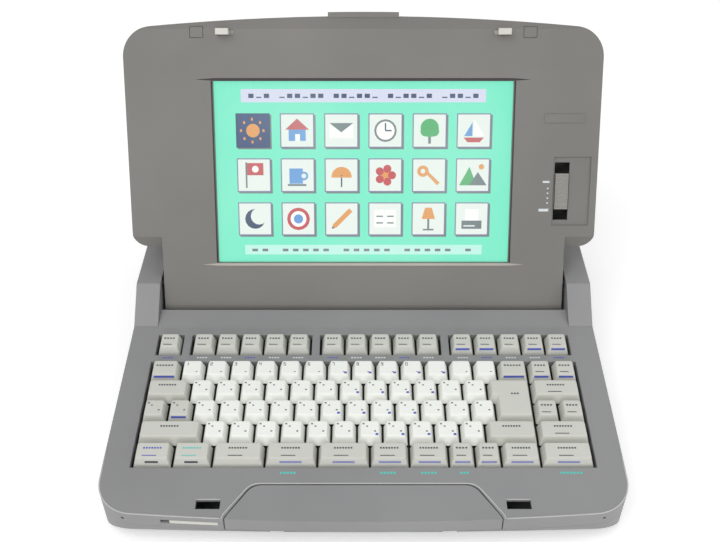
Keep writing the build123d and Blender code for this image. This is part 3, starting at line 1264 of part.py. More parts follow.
def make_belt_drive():
    """Carriage belt round two pulleys on upright studs, and the motor over the right one."""
    z0 = belt_bottom()
    z1 = z0 + BELT_WIDTH
    bore_r = SHAFT_R / 2 + PIN_RUNNING_GAP
    for name, x in (("drive_pulley", PULLEY_X), ("return_pulley", -PULLEY_X)):
        write(name, rod_z(PULLEY_R, x, BELT_Y, z0, z1) - rod_z(bore_r, x, BELT_Y, z0, z1))
    inner_r = PULLEY_R + SKIN_GAP
    outer_r = inner_r + BELT_THICKNESS
    apart = 2 * PULLEY_X
    outline = SlotCenterToCenter(apart, 2 * outer_r) - SlotCenterToCenter(apart, 2 * inner_r)
    write("carriage_belt", Pos(0, BELT_Y, z0) * extrude(outline, amount=BELT_WIDTH, dir=(0, 0, 1)))
    motor_z = (z1 + 2 * SKIN_GAP, z1 + MOTOR_LENGTH / 2)
    motor = rod_z(CARRIAGE_MOTOR_R, PULLEY_X, BELT_Y, *motor_z)
    half_width, low, high = MOTOR_LUG
    lug_y = (BELT_Y - half_width, BELT_Y + half_width)
    lug = block((PULLEY_X, FRAME_HALF - SEAM_GAP), lug_y, (z1 + low, z1 + high))
    write("carriage_motor", motor + lug)


def make_printer_covers():
    """Hinged printer cover, sliding paper guide and paper release lever."""
    pin_y, pin_z = cover_pin_place()
    cover_z = (REAR_HEIGHT - WALL, REAR_HEIGHT)
    plate = block((-COVER_HALF, COVER_HALF), (COVER_FRONT_Y, pin_y), cover_z)
    bead = rod_x(COVER_BEAD_R, -COVER_HALF, COVER_HALF, pin_y, pin_z)
    pin_end = COVER_HALF + COVER_GAP + COVER_PIN_REACH
    pin = rod_x(COVER_PIN_R, COVER_HALF, pin_end, pin_y, pin_z)
    write("printer_cover", plate + bead + list(both_sides(pin)))
    width, overlap, height = GUIDE_TAB_SIZE
    tab = block(
        (GUIDE_TAB_X, GUIDE_TAB_X + width),
        (PAPER_SLOT_Y - overlap, PAPER_SLOT_Y + PAPER_SLOT_WIDTH + overlap),
        (REAR_HEIGHT + SKIN_GAP, REAR_HEIGHT + height),
    )
    tongue = block(
        (GUIDE_TAB_X + GUIDE_TONGUE[0], GUIDE_TAB_X + GUIDE_TONGUE[1]),
        (PAPER_SLOT_Y + SKIN_GAP, PAPER_SLOT_Y + overlap),
        (REAR_HEIGHT - 2 * WALL, REAR_HEIGHT + SKIN_GAP),
    )
    write("paper_guide", tab + tongue)
    lever_x = (LEVER_X - LEVER_THICKNESS / 2, LEVER_X + LEVER_THICKNESS / 2)
    hub = rod_x(LEVER_HUB_R, *lever_x, PRINTER_Y, PRINTER_Z)
    stalk_y = (PRINTER_Y - LEVER_WIDTH / 2, PRINTER_Y + LEVER_WIDTH / 2)
    stalk = block(lever_x, stalk_y, (PRINTER_Z, REAR_HEIGHT + LEVER_PROUD))
    bore = rod_x(SHAFT_R + PIN_RUNNING_GAP, *lever_x, PRINTER_Y, PRINTER_Z)
    write("paper_release_lever", hub + stalk - bore)


# ---------------------------------------------------------------- drive, power and boards
def disk_slot_span():
    """Body-frame y and z spans of the disk slot in the drive's bezel."""
    y, z = drive_span()[1:]
    middle_y = sum(y) / 2
    middle_z = z[1] - DRIVE_HEIGHT / 3
    slot_y = (middle_y - DISK_SLOT_WIDTH / 2, middle_y + DISK_SLOT_WIDTH / 2)
    return slot_y, (middle_z - DISK_SLOT_HEIGHT / 2, middle_z + DISK_SLOT_HEIGHT / 2)


def flap_axis():
    """Body-frame (x, z) of the door flap's hinge axis, along its upper edge."""
    x = drive_span()[0][1] + DRIVE_BEZEL - FLAP_SUNK - FLAP_THICKNESS / 2
    return x, disk_slot_span()[1][1] - SKIN_GAP - FLAP_THICKNESS / 2


def make_disk_drive():
    """Disk drive with its bezel, door flap and eject button, opening at the right side."""
    x, y, z = drive_span()
    front = x[1] + DRIVE_BEZEL
    slot_y, slot_z = disk_slot_span()
    bay = block((front - DISK_BAY_DEPTH, front + CUT_EXTRA), slot_y, slot_z)
    eject_y = (y[0] + EJECT_INSET, y[0] + EJECT_INSET + EJECT_WIDTH)
    eject_z = (z[0] + EJECT_LIFT, z[0] + EJECT_LIFT + EJECT_HEIGHT)
    button_in = x[1] - EJECT_LENGTH
    well_x = (button_in - EJECT_TRAVEL, front + CUT_EXTRA)
    well = block(well_x, *grown([eject_y, eject_z], SKIN_GAP))
    write("floppy_drive", block((x[0], front), y, z) - bay - well)
    axis_x, axis_z = flap_axis()
    flap_y = grown([slot_y], -SKIN_GAP)[0]
    radius = FLAP_THICKNESS / 2
    bead = Pos(axis_x, sum(flap_y) / 2, axis_z) * Rot(90, 0, 0) * Cylinder(radius, flap_y[1] - flap_y[0])
    leaf = block((axis_x - radius, axis_x + radius), flap_y, (slot_z[0] + SKIN_GAP, axis_z))
    write("floppy_door", leaf + bead)
    write("eject_button", block((button_in + SKIN_GAP, front - EJECT_SUNK), eject_y, eject_z))


def make_power():
    """Power supply cage, mains inlet and rocker switch."""
    width, depth, height = SUPPLY_SIZE
    left = SUPPLY_SIDE_GAP + WALL - HALF_WIDTH
    back = BACK_Y - INLET_DEPTH - SUPPLY_BACK_GAP
    bottom = FLOOR_Z + SKIN_GAP
    write("power_supply", block((left, left + width), (back - depth, back), (bottom, bottom + height)))
    x, y, z = inlet_span(0)
    recess_x, recess_z = grown([x, z], -INLET_WALL)
    socket = block(recess_x, (y[1] - SOCKET_DEPTH, y[1] + CUT_EXTRA), recess_z)
    upright = rod_z(BLADE_R, 0, 0, 0, BLADE_LENGTH + CUT_EXTRA)
    blade_y = y[1] - SOCKET_DEPTH + BLADE_LENGTH
    blades = [
        Pos(INLET_X + step, blade_y, sum(z) / 2) * Rot(90, 0, 0) * upright
        for step in (-BLADE_SPACING / 2, BLADE_SPACING / 2)
    ]
    write("power_inlet", block(x, y, z) - socket + blades)
    x, y, z = switch_span(0)
    opening = block((x[0] - CUT_EXTRA, x[1] - WALL), *grown([y, z], -SWITCH_WALL))
    write("switch_frame", block(x, y, z) - opening)
    rocker_z = grown([z], -SWITCH_WALL - ROCKER_GAP)[0]
    axis_x = x[0] + ROCKER_AXIS_DEPTH
    sweep_r = SWITCH_LENGTH / 2 - ROCKER_END_GAP
    sweep = Pos(axis_x, SWITCH_Y, sum(z) / 2) * Cylinder(sweep_r, SWITCH_WIDTH)
    rocker = block((x[0] + ROCKER_SPAN[0], x[0] + ROCKER_SPAN[1]), y, rocker_z) & sweep
    upright_axis = Axis((axis_x, SWITCH_Y, 0), (0, 0, 1))
    write("power_switch", rocker.rotate(upright_axis, -ROCKER_SWING))


def make_boards():
    """Main board on pillars behind the handle's arms, with its chips and buzzer."""
    half, depth = BOARD_SIZE[0] / 2, BOARD_SIZE[1]
    front = deck_to_body(HANDLE_BACK + ARM_LENGTH, 0)[0] + BOARD_GAP
    back = front + depth
    under = FLOOR_Z + BOARD_LIFT
    top = under + BOARD_THICKNESS
    board = block((-half, half), (front, back), (under, top))
    pillars = [
        rod_z(PILLAR_R, x, y, FLOOR_Z, under)
        for x in (PILLAR_INSET - half, half - PILLAR_INSET)
        for y in (front + PILLAR_INSET, back - PILLAR_INSET)
    ]
    width, length, height = CHIP_SIZE
    chip_y = (back - CHIP_BACK_GAP - length, back - CHIP_BACK_GAP)
    first = -(CHIP_COUNT - 1) / 2 * CHIP_PITCH - width / 2
    chips = [
        block((first + step * CHIP_PITCH, first + step * CHIP_PITCH + width), chip_y, (top, top + height))
        for step in range(CHIP_COUNT)
    ]
    inset_x, inset_y = BUZZER_INSET
    buzzer = rod_z(BUZZER_R, half - inset_x, front + inset_y, top, top + BUZZER_HEIGHT)
    write("main_board", board + pillars + chips + buzzer)


def main():
    """Write every piece."""
    os.makedirs("parts", exist_ok=True)
    make_bottom_case()
    make_upper_shell()
    make_rear_housing()
    make_base_trim()
    make_keyboard()
    make_keys()
    make_handle()
    make_hinges()
    make_lid_shells()
    make_display()
    make_lid_controls()
    make_printer_frame()
    make_platen()
    make_feed_drive()
    make_carriage()
    make_belt_drive()
    make_printer_covers()
    make_disk_drive()
    make_power()
    make_boards()


main()
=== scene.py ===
# %% [markdown]
# # A portable word processor, dressed for a studio picture
# The CAD frame already holds every solid piece in its place, so this lesson starts by
# loading it. Everything that follows is measured in metres in the same frame: X to the
# right, Y away from the user, Z up, the feet on Z = 0.

# %% Load the frame
import math

import bpy
import numpy as np
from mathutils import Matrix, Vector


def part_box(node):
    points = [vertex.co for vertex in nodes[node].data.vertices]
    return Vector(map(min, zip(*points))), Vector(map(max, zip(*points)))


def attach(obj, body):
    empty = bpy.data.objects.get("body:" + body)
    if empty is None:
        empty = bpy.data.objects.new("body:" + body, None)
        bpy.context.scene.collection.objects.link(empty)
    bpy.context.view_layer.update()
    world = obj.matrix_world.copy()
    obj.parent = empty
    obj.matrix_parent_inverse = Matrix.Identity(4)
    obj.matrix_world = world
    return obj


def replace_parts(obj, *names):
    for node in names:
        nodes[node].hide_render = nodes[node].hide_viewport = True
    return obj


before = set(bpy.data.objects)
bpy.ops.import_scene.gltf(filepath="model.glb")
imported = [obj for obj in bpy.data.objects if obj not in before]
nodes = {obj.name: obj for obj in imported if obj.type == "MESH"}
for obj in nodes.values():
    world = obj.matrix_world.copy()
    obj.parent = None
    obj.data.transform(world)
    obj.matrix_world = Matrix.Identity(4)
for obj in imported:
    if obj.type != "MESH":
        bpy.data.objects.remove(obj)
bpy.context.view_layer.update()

# %% [markdown]
# ## Where the camera stands
# The picture was taken from in front and above, looking down about forty degrees. A
# camera could be aimed by eye, but matching the hinge, the deck's corners and the lid's
# corners gives one place for it. The lens value is the fitted focal length in pixels,
# carried over to a sensor 36 mm wide, and the small shift moves the machine to the same
# place in the frame.

# %% Camera
IMAGE_WIDTH = 720
FOCAL_PIXELS = 922.5
camera = bpy.data.objects.new("camera", bpy.data.cameras.new("camera"))
camera.data.lens = 36.0 * FOCAL_PIXELS / IMAGE_WIDTH
camera.data.shift_x = -3.4 / IMAGE_WIDTH
camera.location = (0.0, -0.53675, 0.57346)
camera.rotation_euler = (math.radians(90 - 40.42), 0.0, 0.0)
bpy.context.scene.collection.objects.link(camera)
bpy.context.scene.camera = camera
bpy.context.scene.view_settings.view_transform = "Standard"
print("lens", round(camera.data.lens, 2), "mm")

# %% [markdown]
# ## Shader sums written as sums
# A material is a graph of nodes, and a graph that is built call by call is hard to read.
# Wrapping a socket in a small class with the usual operators lets a mask be written as
# `1 - edge * 4`. Colours go through Mix nodes, because a Math node would turn them grey.

# %% Shader helpers
class Signal:
    """One output socket. Each operator adds one Math node and gives its output."""

    def __init__(self, tree, socket):
        self.tree, self.socket = tree, socket

    def maths(self, operation, *values):
        node = self.tree.nodes.new("ShaderNodeMath")
        node.operation = operation
        for socket, value in zip(node.inputs, values):
            feed(self.tree, socket, value)
        return Signal(self.tree, node.outputs[0])

    def __add__(self, other):
        return self.maths("ADD", self, other)

    def __sub__(self, other):
        return self.maths("SUBTRACT", self, other)

    def __rsub__(self, other):
        return self.maths("SUBTRACT", other, self)

    def __mul__(self, other):
        return self.maths("MULTIPLY", self, other)

    def __gt__(self, other):
        return self.maths("GREATER_THAN", self, other)

    def __lt__(self, other):
        return self.maths("LESS_THAN", self, other)

    def clear(self):
        """The value held between 0 and 1."""
        return self.maths("MINIMUM", self.maths("MAXIMUM", self, 0.0), 1.0)

    __radd__, __rmul__ = __add__, __mul__


def feed(tree, socket, value):
    """Links a Signal to the socket, or sets the socket to a plain value."""
    if isinstance(value, Signal):
        tree.links.new(value.socket, socket)
    else:
        socket.default_value = value


def paint(red, green, blue):
    """A colour as it is read off a screen (0 to 255), turned to the linear values of a shader."""
    screen = np.array([red, green, blue]) / 255
    linear = np.where(screen < 0.04045, screen / 12.92, ((screen + 0.055) / 1.055) ** 2.4)
    return (*linear.tolist(), 1.0)


class Finish:
    """A material and its shader. `constants` are set on the shader's own sockets."""

    def __init__(self, name, **constants):
        self.material = bpy.data.materials.new(name)
        self.material.use_nodes = True
        self.tree = self.material.node_tree
        self.shader = self.tree.nodes["Principled BSDF"]
        for socket, value in constants.items():
            self.shader.inputs[socket.replace("_", " ")].default_value = value

    def node(self, kind, output=0, settings=None, **sockets):
        """Adds a node of a kind: its settings first, then its sockets, by name or as i0, i1."""
        node = self.tree.nodes.new("ShaderNode" + kind)
        for name, value in (settings or {}).items():
            setattr(node, name, value)
        for name, value in sockets.items():
            by_number = name[0] == "i" and name[1:].isdigit()
            key = int(name[1:]) if by_number else name.replace("_", " ")
            feed(self.tree, node.inputs[key], value)
        return Signal(self.tree, node.outputs[output])

    def place(self, *scale):
        """Object coordinates in metres, stretched by the scale."""
        here = self.node("TexCoord", "Object")
        return self.node("Mapping", Vector=here, Scale=scale) if scale else here

    def noise(self, size, detail=2.0, roughness=0.5, at=None):
        """Cloudy noise between 0 and 1 whose blobs are about `size` metres across."""
        at = at or self.place()
        return self.node("TexNoise", Vector=at, Scale=1 / size, Detail=detail, Roughness=roughness)

    def mix(self, mask, low, high):
        """The colour `low` where the mask is 0 and `high` where it is 1."""
        return self.node("Mix", 2, {"data_type": "RGBA"}, i0=mask, i6=low, i7=high)

    def drive(self, **sockets):
        """Feeds the shader's sockets with what varies over the surface."""
        for name, value in sockets.items():
            feed(self.tree, self.shader.inputs[name.replace("_", " ")], value)
        return self.material


# %% [markdown]
# ## Moulded plastic
# The case is injection moulded and its mould was etched, so the surface is a fine even
# grain with soft edges. The grain could be modelled, but it is a third of a millimetre
# wide, so a Bump node is the right size of tool. A Bevel node rounds every edge for the
# light without touching the CAD mesh, and the same rounding, set against the true
# surface, gives a mask of the edges. There the colour is lightened, partly as wear where
# handling polishes the plastic and partly as a painted highlight along the edges.

# %% Plastic finish
GRAIN, DRIFT, SCUFF = 0.00042, 0.12, 0.009  # metres across: mould pits, colour drift, scuffs


def shifted(colour, gain, lift=0.0):
    """A colour with its red, green and blue times the gain plus the lift, at most 1."""
    return tuple(min(1.0, value * gain + lift) for value in colour[:3]) + (1.0,)


def moulded(name, colour, rough=0.52, depth=0.00006, edge=0.0005, fade=0.05, wear=0.25):
    """Etched plastic: colour with broad and fine drift, edges lighter partly from wear and partly
    as a painted highlight, grain in the bump.
    """
    finish = Finish(name, Specular_IOR_Level=0.42)
    soft = finish.node("Bevel", 0, {"samples": 4}, Radius=edge)
    flat = finish.node("NewGeometry", "Normal")
    facing = finish.node("VectorMath", "Value", {"operation": "DOT_PRODUCT"}, i0=soft, i1=flat)
    rim = ((1 - facing) * 5).clear()
    drift = finish.noise(DRIFT, 3.0)
    pits = finish.noise(GRAIN, 2.0, 0.6)
    scuffs = finish.noise(SCUFF, 4.0, 0.7)
    dark, light = shifted(colour, 1 - 2 * fade), shifted(colour, 1 + 2 * fade)
    body = finish.mix(((drift - 0.3) * 2.5).clear() * 0.7 + pits * 0.3, dark, light)
    # The edges' lighter colour, weighed by `wear`: partly wear, partly a painted highlight.
    worn_and_highlit = shifted(colour, 1.35, 0.02)
    shine = (scuffs > 0.62) * 0.05
    return finish.drive(
        Base_Color=finish.mix((rim * (scuffs * 0.8 + 0.4) * wear).clear(), body, worn_and_highlit),
        Roughness=rough + (pits - 0.5) * 0.12 - shine - rim * 0.06,
        Normal=finish.node("Bump", Strength=0.5, Distance=depth, Height=pits, Normal=soft),
    )


# The case and the bottom case get strongly lightened edges: wear, and a painted highlight along the
# deck's front edge.
CASE = moulded("case_plastic", paint(141, 141, 142), edge=0.0009, wear=0.5)
LOWER = moulded("case_lower_plastic", paint(140, 141, 140), edge=0.0009, wear=0.45)
LID = moulded("lid_plastic", paint(121, 119, 115), rough=0.5)
PALE = moulded("pale_plastic", paint(205, 203, 196), rough=0.42, depth=0.00002)
BLACK = moulded("black_plastic", paint(38, 38, 41), rough=0.5, wear=0.5)
CAP_LOOK = {"rough": 0.46, "depth": 0.00003, "fade": 0.015, "wear": 0.1}
CAP_WHITE = moulded("keycap_white", paint(240, 241, 236), **CAP_LOOK)
CAP_GREY = moulded("keycap_grey", paint(204, 204, 197), **CAP_LOOK)
# A pale colour that is a painted highlight, for the sill under the display.
SILL_HIGHLIGHT = moulded("painted_highlight_sill", paint(176, 172, 164), rough=0.4, depth=0.00002)
# A pale colour that is a painted highlight, for the lips of the deck.
RIM_HIGHLIGHT = moulded("painted_highlight_rim", paint(196, 195, 194), rough=0.36, depth=0.00002)
# A dark colour that is painted shade, for the sills above and beside the display.
SHADOW = moulded("painted_shade_sill", paint(58, 53, 55), rough=0.6, depth=0.00002)
KNOB_GREY = moulded("slider_grey", paint(150, 148, 142), rough=0.44)
GEAR = moulded("gear_plastic", paint(226, 223, 214), rough=0.38, depth=0.00001)
print("materials so far", len(bpy.data.materials))
print("plastics", len(bpy.data.materials))

# %% [markdown]
# ## Metal, rubber and circuit board
# Brackets, pins and the printer's frame are plated steel sheet: a faint brushed streak in
# one direction and cloudy zinc. Rubber is almost black and dusty. The boards are green
# solder mask with finer copper tracks under it, which a stepped pattern suggests.

# %% Other finishes
def plated_steel():
    """Brushed sheet: noise drawn out along X gives the streaks, a larger one the zinc's clouds."""
    finish = Finish("plated_steel", Metallic=1.0)
    streaks = finish.noise(0.0004, 2.0, at=finish.place(0.06, 1.0, 1.0))
    clouds = finish.noise(0.006, 3.0)
    soft = finish.node("Bevel", 0, {"samples": 4}, Radius=0.0003)
    dull, bright = paint(176, 178, 180), paint(216, 217, 214)
    return finish.drive(
        Base_Color=finish.mix(clouds * 0.6 + streaks * 0.4, dull, bright),
        Roughness=0.24 + clouds * 0.16 + streaks * 0.08,
        Normal=finish.node("Bump", Strength=0.25, Distance=0.00003, Height=streaks, Normal=soft),
    )


def dusty_rubber():
    """Black rubber: pitted bump, and grey dust that settles in patches."""
    finish = Finish("rubber", Specular_IOR_Level=0.3)
    pits, dust = finish.noise(0.0006, 3.0), finish.noise(0.008, 4.0, 0.6)
    return finish.drive(
        Base_Color=finish.mix(((dust - 0.45) * 3).clear(), paint(44, 44, 46), paint(74, 73, 71)),
        Roughness=0.72 + dust * 0.18,
        Normal=finish.node("Bump", Strength=0.4, Distance=0.00008, Height=pits),
    )


def circuit_board():
    """Green solder mask: a stepped cell pattern stands for tracks, small bright dots for pads."""
    finish = Finish("circuit_board", Coat_Weight=0.3, Coat_Roughness=0.25)
    cells = finish.node(
        "TexVoronoi", 0, {"distance": "MANHATTAN"}, Vector=finish.place(), Scale=260.0
    )
    tracks = cells.maths("FRACT", cells * 6) > 0.55
    pads = cells < 0.16
    mask = finish.mix(tracks * 0.8, paint(16, 84, 48), paint(30, 116, 64))
    return finish.drive(
        Base_Color=finish.mix(pads, mask, paint(196, 186, 150)),
        Roughness=0.42 - pads * 0.16,
        Metallic=pads * 0.9,
    )


def clear_window():
    """The display's clear cover: nearly all see-through, with a low even sheen."""
    finish = Finish("display_window", Base_Color=paint(190, 226, 216), IOR=1.45)
    haze = finish.noise(0.03, 3.0)
    return finish.drive(Alpha=0.05 + haze * 0.03, Roughness=0.16 + haze * 0.06)


STEEL, RUBBER, BOARD, WINDOW = plated_steel(), dusty_rubber(), circuit_board(), clear_window()
print("materials", len(bpy.data.materials))

# %% [markdown]
# ## Dressing the CAD pieces
# Most shells, brackets and works already have the right shape, so they keep their CAD
# mesh and only get a finish. One table from finish to pieces keeps that readable.

# %% Finishes of the CAD pieces
WORN_BY = {
    CASE: "upper_deck hinge_towers rear_housing carry_handle printer_cover paper_guide"
    " floppy_door eject_button",
    LOWER: "bottom_case",
    LID: "lid_bezel lid_back_shell latch_button lid_pads",
    PALE: "latch_slide_right latch_slide_left handle_catch lcd_panel thermal_head",
    KNOB_GREY: "contrast_slider floppy_drive",
    BLACK: "hinge_pins keyboard_plate power_inlet switch_frame power_switch platen_knob"
    " paper_release_lever print_carriage ribbon_cassette",
    GEAR: "platen_gear idler_gear motor_pinion drive_pulley return_pulley backlight_lamp",
    STEEL: "hinge_brackets case_screws guide_shaft platen_shaft printer_frame feed_motor"
    " carriage_motor keyboard_backing",
    RUBBER: "rubber_feet platen_roller key_membrane carriage_belt",
    BOARD: "main_board lid_boards power_supply",
    WINDOW: "lcd_window",
}


def wear(obj, material):
    """Gives the whole object one material."""
    obj.data.materials.clear()
    obj.data.materials.append(material)


for material, names in WORN_BY.items():
    for name in names.split():
        wear(nodes[name], material)
print("dressed", sum(len(names.split()) for names in WORN_BY.values()))

# %% [markdown]
# ## Two tilted sheets of paper
# The keyboard deck is tilted five degrees and the open lid stands at 62.2 degrees. It is
# easier to draw on each as on a flat sheet, in millimetres, and to turn the result into
# the shared frame in one step.

# %% The deck's and the lid's own coordinates
DECK_TILT, LID_ANGLE = math.radians(5.0), math.radians(62.2)
DECK_ORIGIN, HINGE = (-168.0036, 34.0), (46.0938, 65.1785)


def tilted(points, origin, angle):
    """Millimetres on a tilted sheet (x, along, up) to metres in the shared frame: a turn about X
    by the angle, then a shift to the origin."""
    x, along, up = np.moveaxis(np.asarray(points, float), -1, 0)
    y = origin[0] + along * math.cos(angle) - up * math.sin(angle)
    z = origin[1] + along * math.sin(angle) + up * math.cos(angle)
    return np.stack([x, y, z], -1) / 1000


def on_deck(points):
    return tilted(points, DECK_ORIGIN, DECK_TILT)


def on_lid(points):
    return tilted(points, HINGE, LID_ANGLE)


# %% [markdown]
# ## One way to make a mesh
# Every new piece below is a set of points on a grid of two parameters. The helper takes
# the points and faces as whole arrays, and one or more materials with an index per face.

# %% Mesh helper
def make_piece(name, points, faces, materials, body, face_kind=None, colours=None, smooth=True):
    """Builds a mesh object from arrays and lets it ride on a body. `face_kind` is one material
    number a face, `colours` one colour a face."""
    mesh = bpy.data.meshes.new(name)
    mesh.from_pydata(np.asarray(points).tolist(), [], [list(map(int, face)) for face in faces])
    for material in materials:
        mesh.materials.append(material)
    if face_kind is not None:
        mesh.polygons.foreach_set("material_index", np.asarray(face_kind, np.int32))
    mesh.polygons.foreach_set("use_smooth", np.full(len(faces), smooth))
    if colours is not None:
        ink = mesh.attributes.new("ink", "FLOAT_COLOR", "FACE")
        ink.data.foreach_set("color", np.asarray(colours, float).ravel())
    mesh.update()
    obj = bpy.data.objects.new(name, mesh)
    bpy.context.scene.collection.objects.link(obj)
    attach(obj, body)
    return obj


# %% [markdown]
# ## Keycaps
# Each cap is a hollow tapered box whose top is scooped a third of a millimetre for the
# fingertip and whose edges are rounded. A bevelled box would have flat tops, so a cap is
# made as outlines stacked on one another: up the four slopes, over the rounded rim, and
# in across the scoop to its middle. The enter key only differs in its corners.

# %% Outlines and stacks
ROUND_STEPS = np.linspace(0, 1, 5)[:, None]


def rounded_outline(corners, radius):
    """Closed outline through corners (n, 2): at each one a quadratic curve joins the two points
    that lie a radius away from it along its sides."""
    before = np.roll(corners, 1, 0) - corners
    after = np.roll(corners, -1, 0) - corners
    start = corners + radius * before / np.linalg.norm(before, axis=1, keepdims=True)
    end = corners + radius * after / np.linalg.norm(after, axis=1, keepdims=True)
    curve = [
        (1 - t) ** 2 * start + 2 * t * (1 - t) * corners + t**2 * end for t in ROUND_STEPS
    ]
    return np.stack(curve, 1).reshape(-1, 2)


def stack_faces(rings, around):
    """Quads between neighbouring rings of a stack, then a fan from the last ring to one point."""
    ring, step = np.meshgrid(np.arange(rings - 1), np.arange(around), indexing="ij")
    here, there = ring * around + step, ring * around + (step + 1) % around
    quads = np.stack([here, there, there + around, here + around], -1).reshape(-1, 4)
    last, step = (rings - 1) * around, np.arange(around)
    point = np.full(around, rings * around)
    fan = np.stack([last + step, last + (step + 1) % around, point], -1)
    return quads.tolist() + fan.tolist()


# %% Key layout
PITCH, CAP_FOOT, CAP_CROWN, SCOOP = 19.05, -3.5, 4.5, 0.34
FIELD_LEFT, FIELD_FRONT, FUNCTION_FRONT, FUNCTION_ROW = -166.6875, 44.2, 148.05, 5
EDIT_START = 15.5  # in key pitches from the field's left end


def cell(start, width, row):
    """(x0, x1, v0, v1) of a key's place, from its start and width in key pitches and its row."""
    front = FUNCTION_FRONT if row == FUNCTION_ROW else FIELD_FRONT + row * PITCH
    left = FIELD_LEFT + start * PITCH
    return left, left + width * PITCH, front, front + PITCH


def run(row, widths, start=0.0):
    """Cells side by side, from their widths."""
    starts = start + np.concatenate([[0], np.cumsum(widths)[:-1]])
    return [cell(s, w, row) for s, w in zip(starts, widths)]


FUNCTION_STARTS = 0.105 + np.concatenate(
    [[0], 1.43 + np.arange(5), 6.86 + np.arange(5), 12.29 + np.arange(5)]
)
EDIT_ROWS = ((1, [2]), (2, [1, 1]), (3, [2]), (4, [1, 1]))
KEYS = {
    "bottom_row_keys": run(0, [1.5, 1.5, 2, 2, 2, 1.5, 1.5, 1, 1, 1.5, 2]),
    "lower_letter_keys": run(1, [1] * 11, 2.5),
    "shift_keys": run(1, [2.5]) + run(1, [2], 13.5),
    "home_letter_keys": run(2, [1] * 14),
    "upper_letter_keys": run(3, [1.75] + [1] * 12),
    "number_row_keys": run(4, [1.25] + [1] * 13 + [1.25]),
    "edit_keys": [place for row, widths in EDIT_ROWS for place in run(row, widths, EDIT_START)],
    "function_keys": [cell(start, 1, FUNCTION_ROW) for start in FUNCTION_STARTS],
}
print("keys", sum(map(len, KEYS.values())) + 1)

# %% Keycap corners
CAP_GAP, CAP_RISE = 0.75, 8.0  # millimetres: from a key's place to the cap's foot, foot to crown
SIDE_LEAN, FRONT_LEAN, BACK_LEAN = 2.2, 3.4, 0.9  # millimetres in, from foot to crown


def insets(f, e):
    """How far in the sides, front and back stand: the share f of their lean, and e mm more."""
    return [CAP_GAP + lean * f + e for lean in (SIDE_LEAN, FRONT_LEAN, BACK_LEAN)]


def box_corners(place):
    """A plain cap's corners as a function of how far up the slopes (f) and how far in (e)."""
    x0, x1, v0, v1 = place

    def corners(f, e):
        side, front, back = insets(f, e)
        left, right = x0 + side, x1 - side
        return np.array(
            [[left, v0 + front], [right, v0 + front], [right, v1 - back], [left, v1 - back]]
        )

    return corners


def enter_corners(f, e):
    """The enter key's six corners: its long leg over two rows, and the step to the left at the
    back."""
    leg, step = cell(14, 1.5, 2), cell(13.75, 1.75, 3)
    side, front, back = insets(f, e)
    left, right, step_left = leg[0] + side, leg[1] - side, step[0] + side
    near, far, step_front = leg[2] + front, step[3] - back, step[2] + front
    return np.array(
        [[left, near], [right, near], [right, far], [step_left, far], [step_left, step_front],
         [left, step_front]]
    )


# %% Keycap surface
SLOPE_END, TOP_END, RIM_LEAN, RIM_WIDTH, RIM_DROP = 0.92, 0.95, 0.03, 0.6, 0.64
SCOOP_REACH = 6.5  # millimetres of rising top on each side


def top_span(corners):
    """Middle and half width of a cap's top, which the scoop is measured from."""
    x = corners(TOP_END, RIM_WIDTH)[:, 0]
    return (x.min() + x.max()) / 2, (x.max() - x.min()) / 2


def scooped(x, middle, half):
    """Height of a cap's top: level in the middle, rising in a parabola towards each side."""
    level = max(half - SCOOP_REACH, 0)
    beyond = np.clip((np.abs(x - middle) - level) / min(half, SCOOP_REACH), 0, 1)
    return CAP_CROWN - SCOOP * (1 - beyond**2)


def cap_surface(corners, centre):
    """Points and faces of one cap: slopes (f grows), rim (a quarter turn), top (shrinks to the
    centre). The scoop fades in over the upper end of the slopes."""
    middle, half = top_span(corners)
    levels = [(f, 0.0, CAP_FOOT + CAP_RISE * f) for f in (0.0, 0.45, SLOPE_END)]
    for turn in np.linspace(0, math.pi / 2, 4)[1:]:
        sine, cosine = math.sin(turn), math.cos(turn)
        height = CAP_CROWN - RIM_DROP * (1 - sine)
        levels.append((SLOPE_END + RIM_LEAN * sine, RIM_WIDTH * (1 - cosine), height))
    loops = []
    for f, e, height in levels:
        loop = rounded_outline(corners(f, e), 1.2 + 0.7 * f)
        drop = scooped(loop[:, 0], middle, half) - CAP_CROWN
        share = min(max(0.0, (f - 0.85) * 10), 1.0)
        loops.append(np.column_stack([loop, height + drop * share]))
    rim_loop = loops[-1][:, :2]
    for shrink in (0.8, 0.55, 0.3, 0.0):
        loop = centre + (rim_loop - centre) * shrink if shrink else centre[None]
        loops.append(np.column_stack([loop, scooped(loop[:, 0], middle, half)]))
    return np.concatenate(loops), stack_faces(len(loops) - 1, len(rim_loop))


# %% [markdown]
# ## Printed marks
# The real caps and the deck are printed. Here the places are filled with plain digits and
# with neutral dots and dashes of the same size and colours. Decals could be a texture,
# but flat patches less than a tenth of a millimetre over the surface stay sharp at any
# distance and need no image. One finish reads each patch's own colour.

# %% Ink finish and patches
def printed_ink():
    """Pad-printed ink: each face's own colour, slightly uneven."""
    finish = Finish("printed_ink", Roughness=0.5)
    ink = finish.node("Attribute", "Color", {"attribute_name": "ink"})
    uneven = finish.noise(0.0005, 2.0)
    return finish.drive(Base_Color=finish.mix(uneven * 0.2, ink, paint(150, 150, 150)))


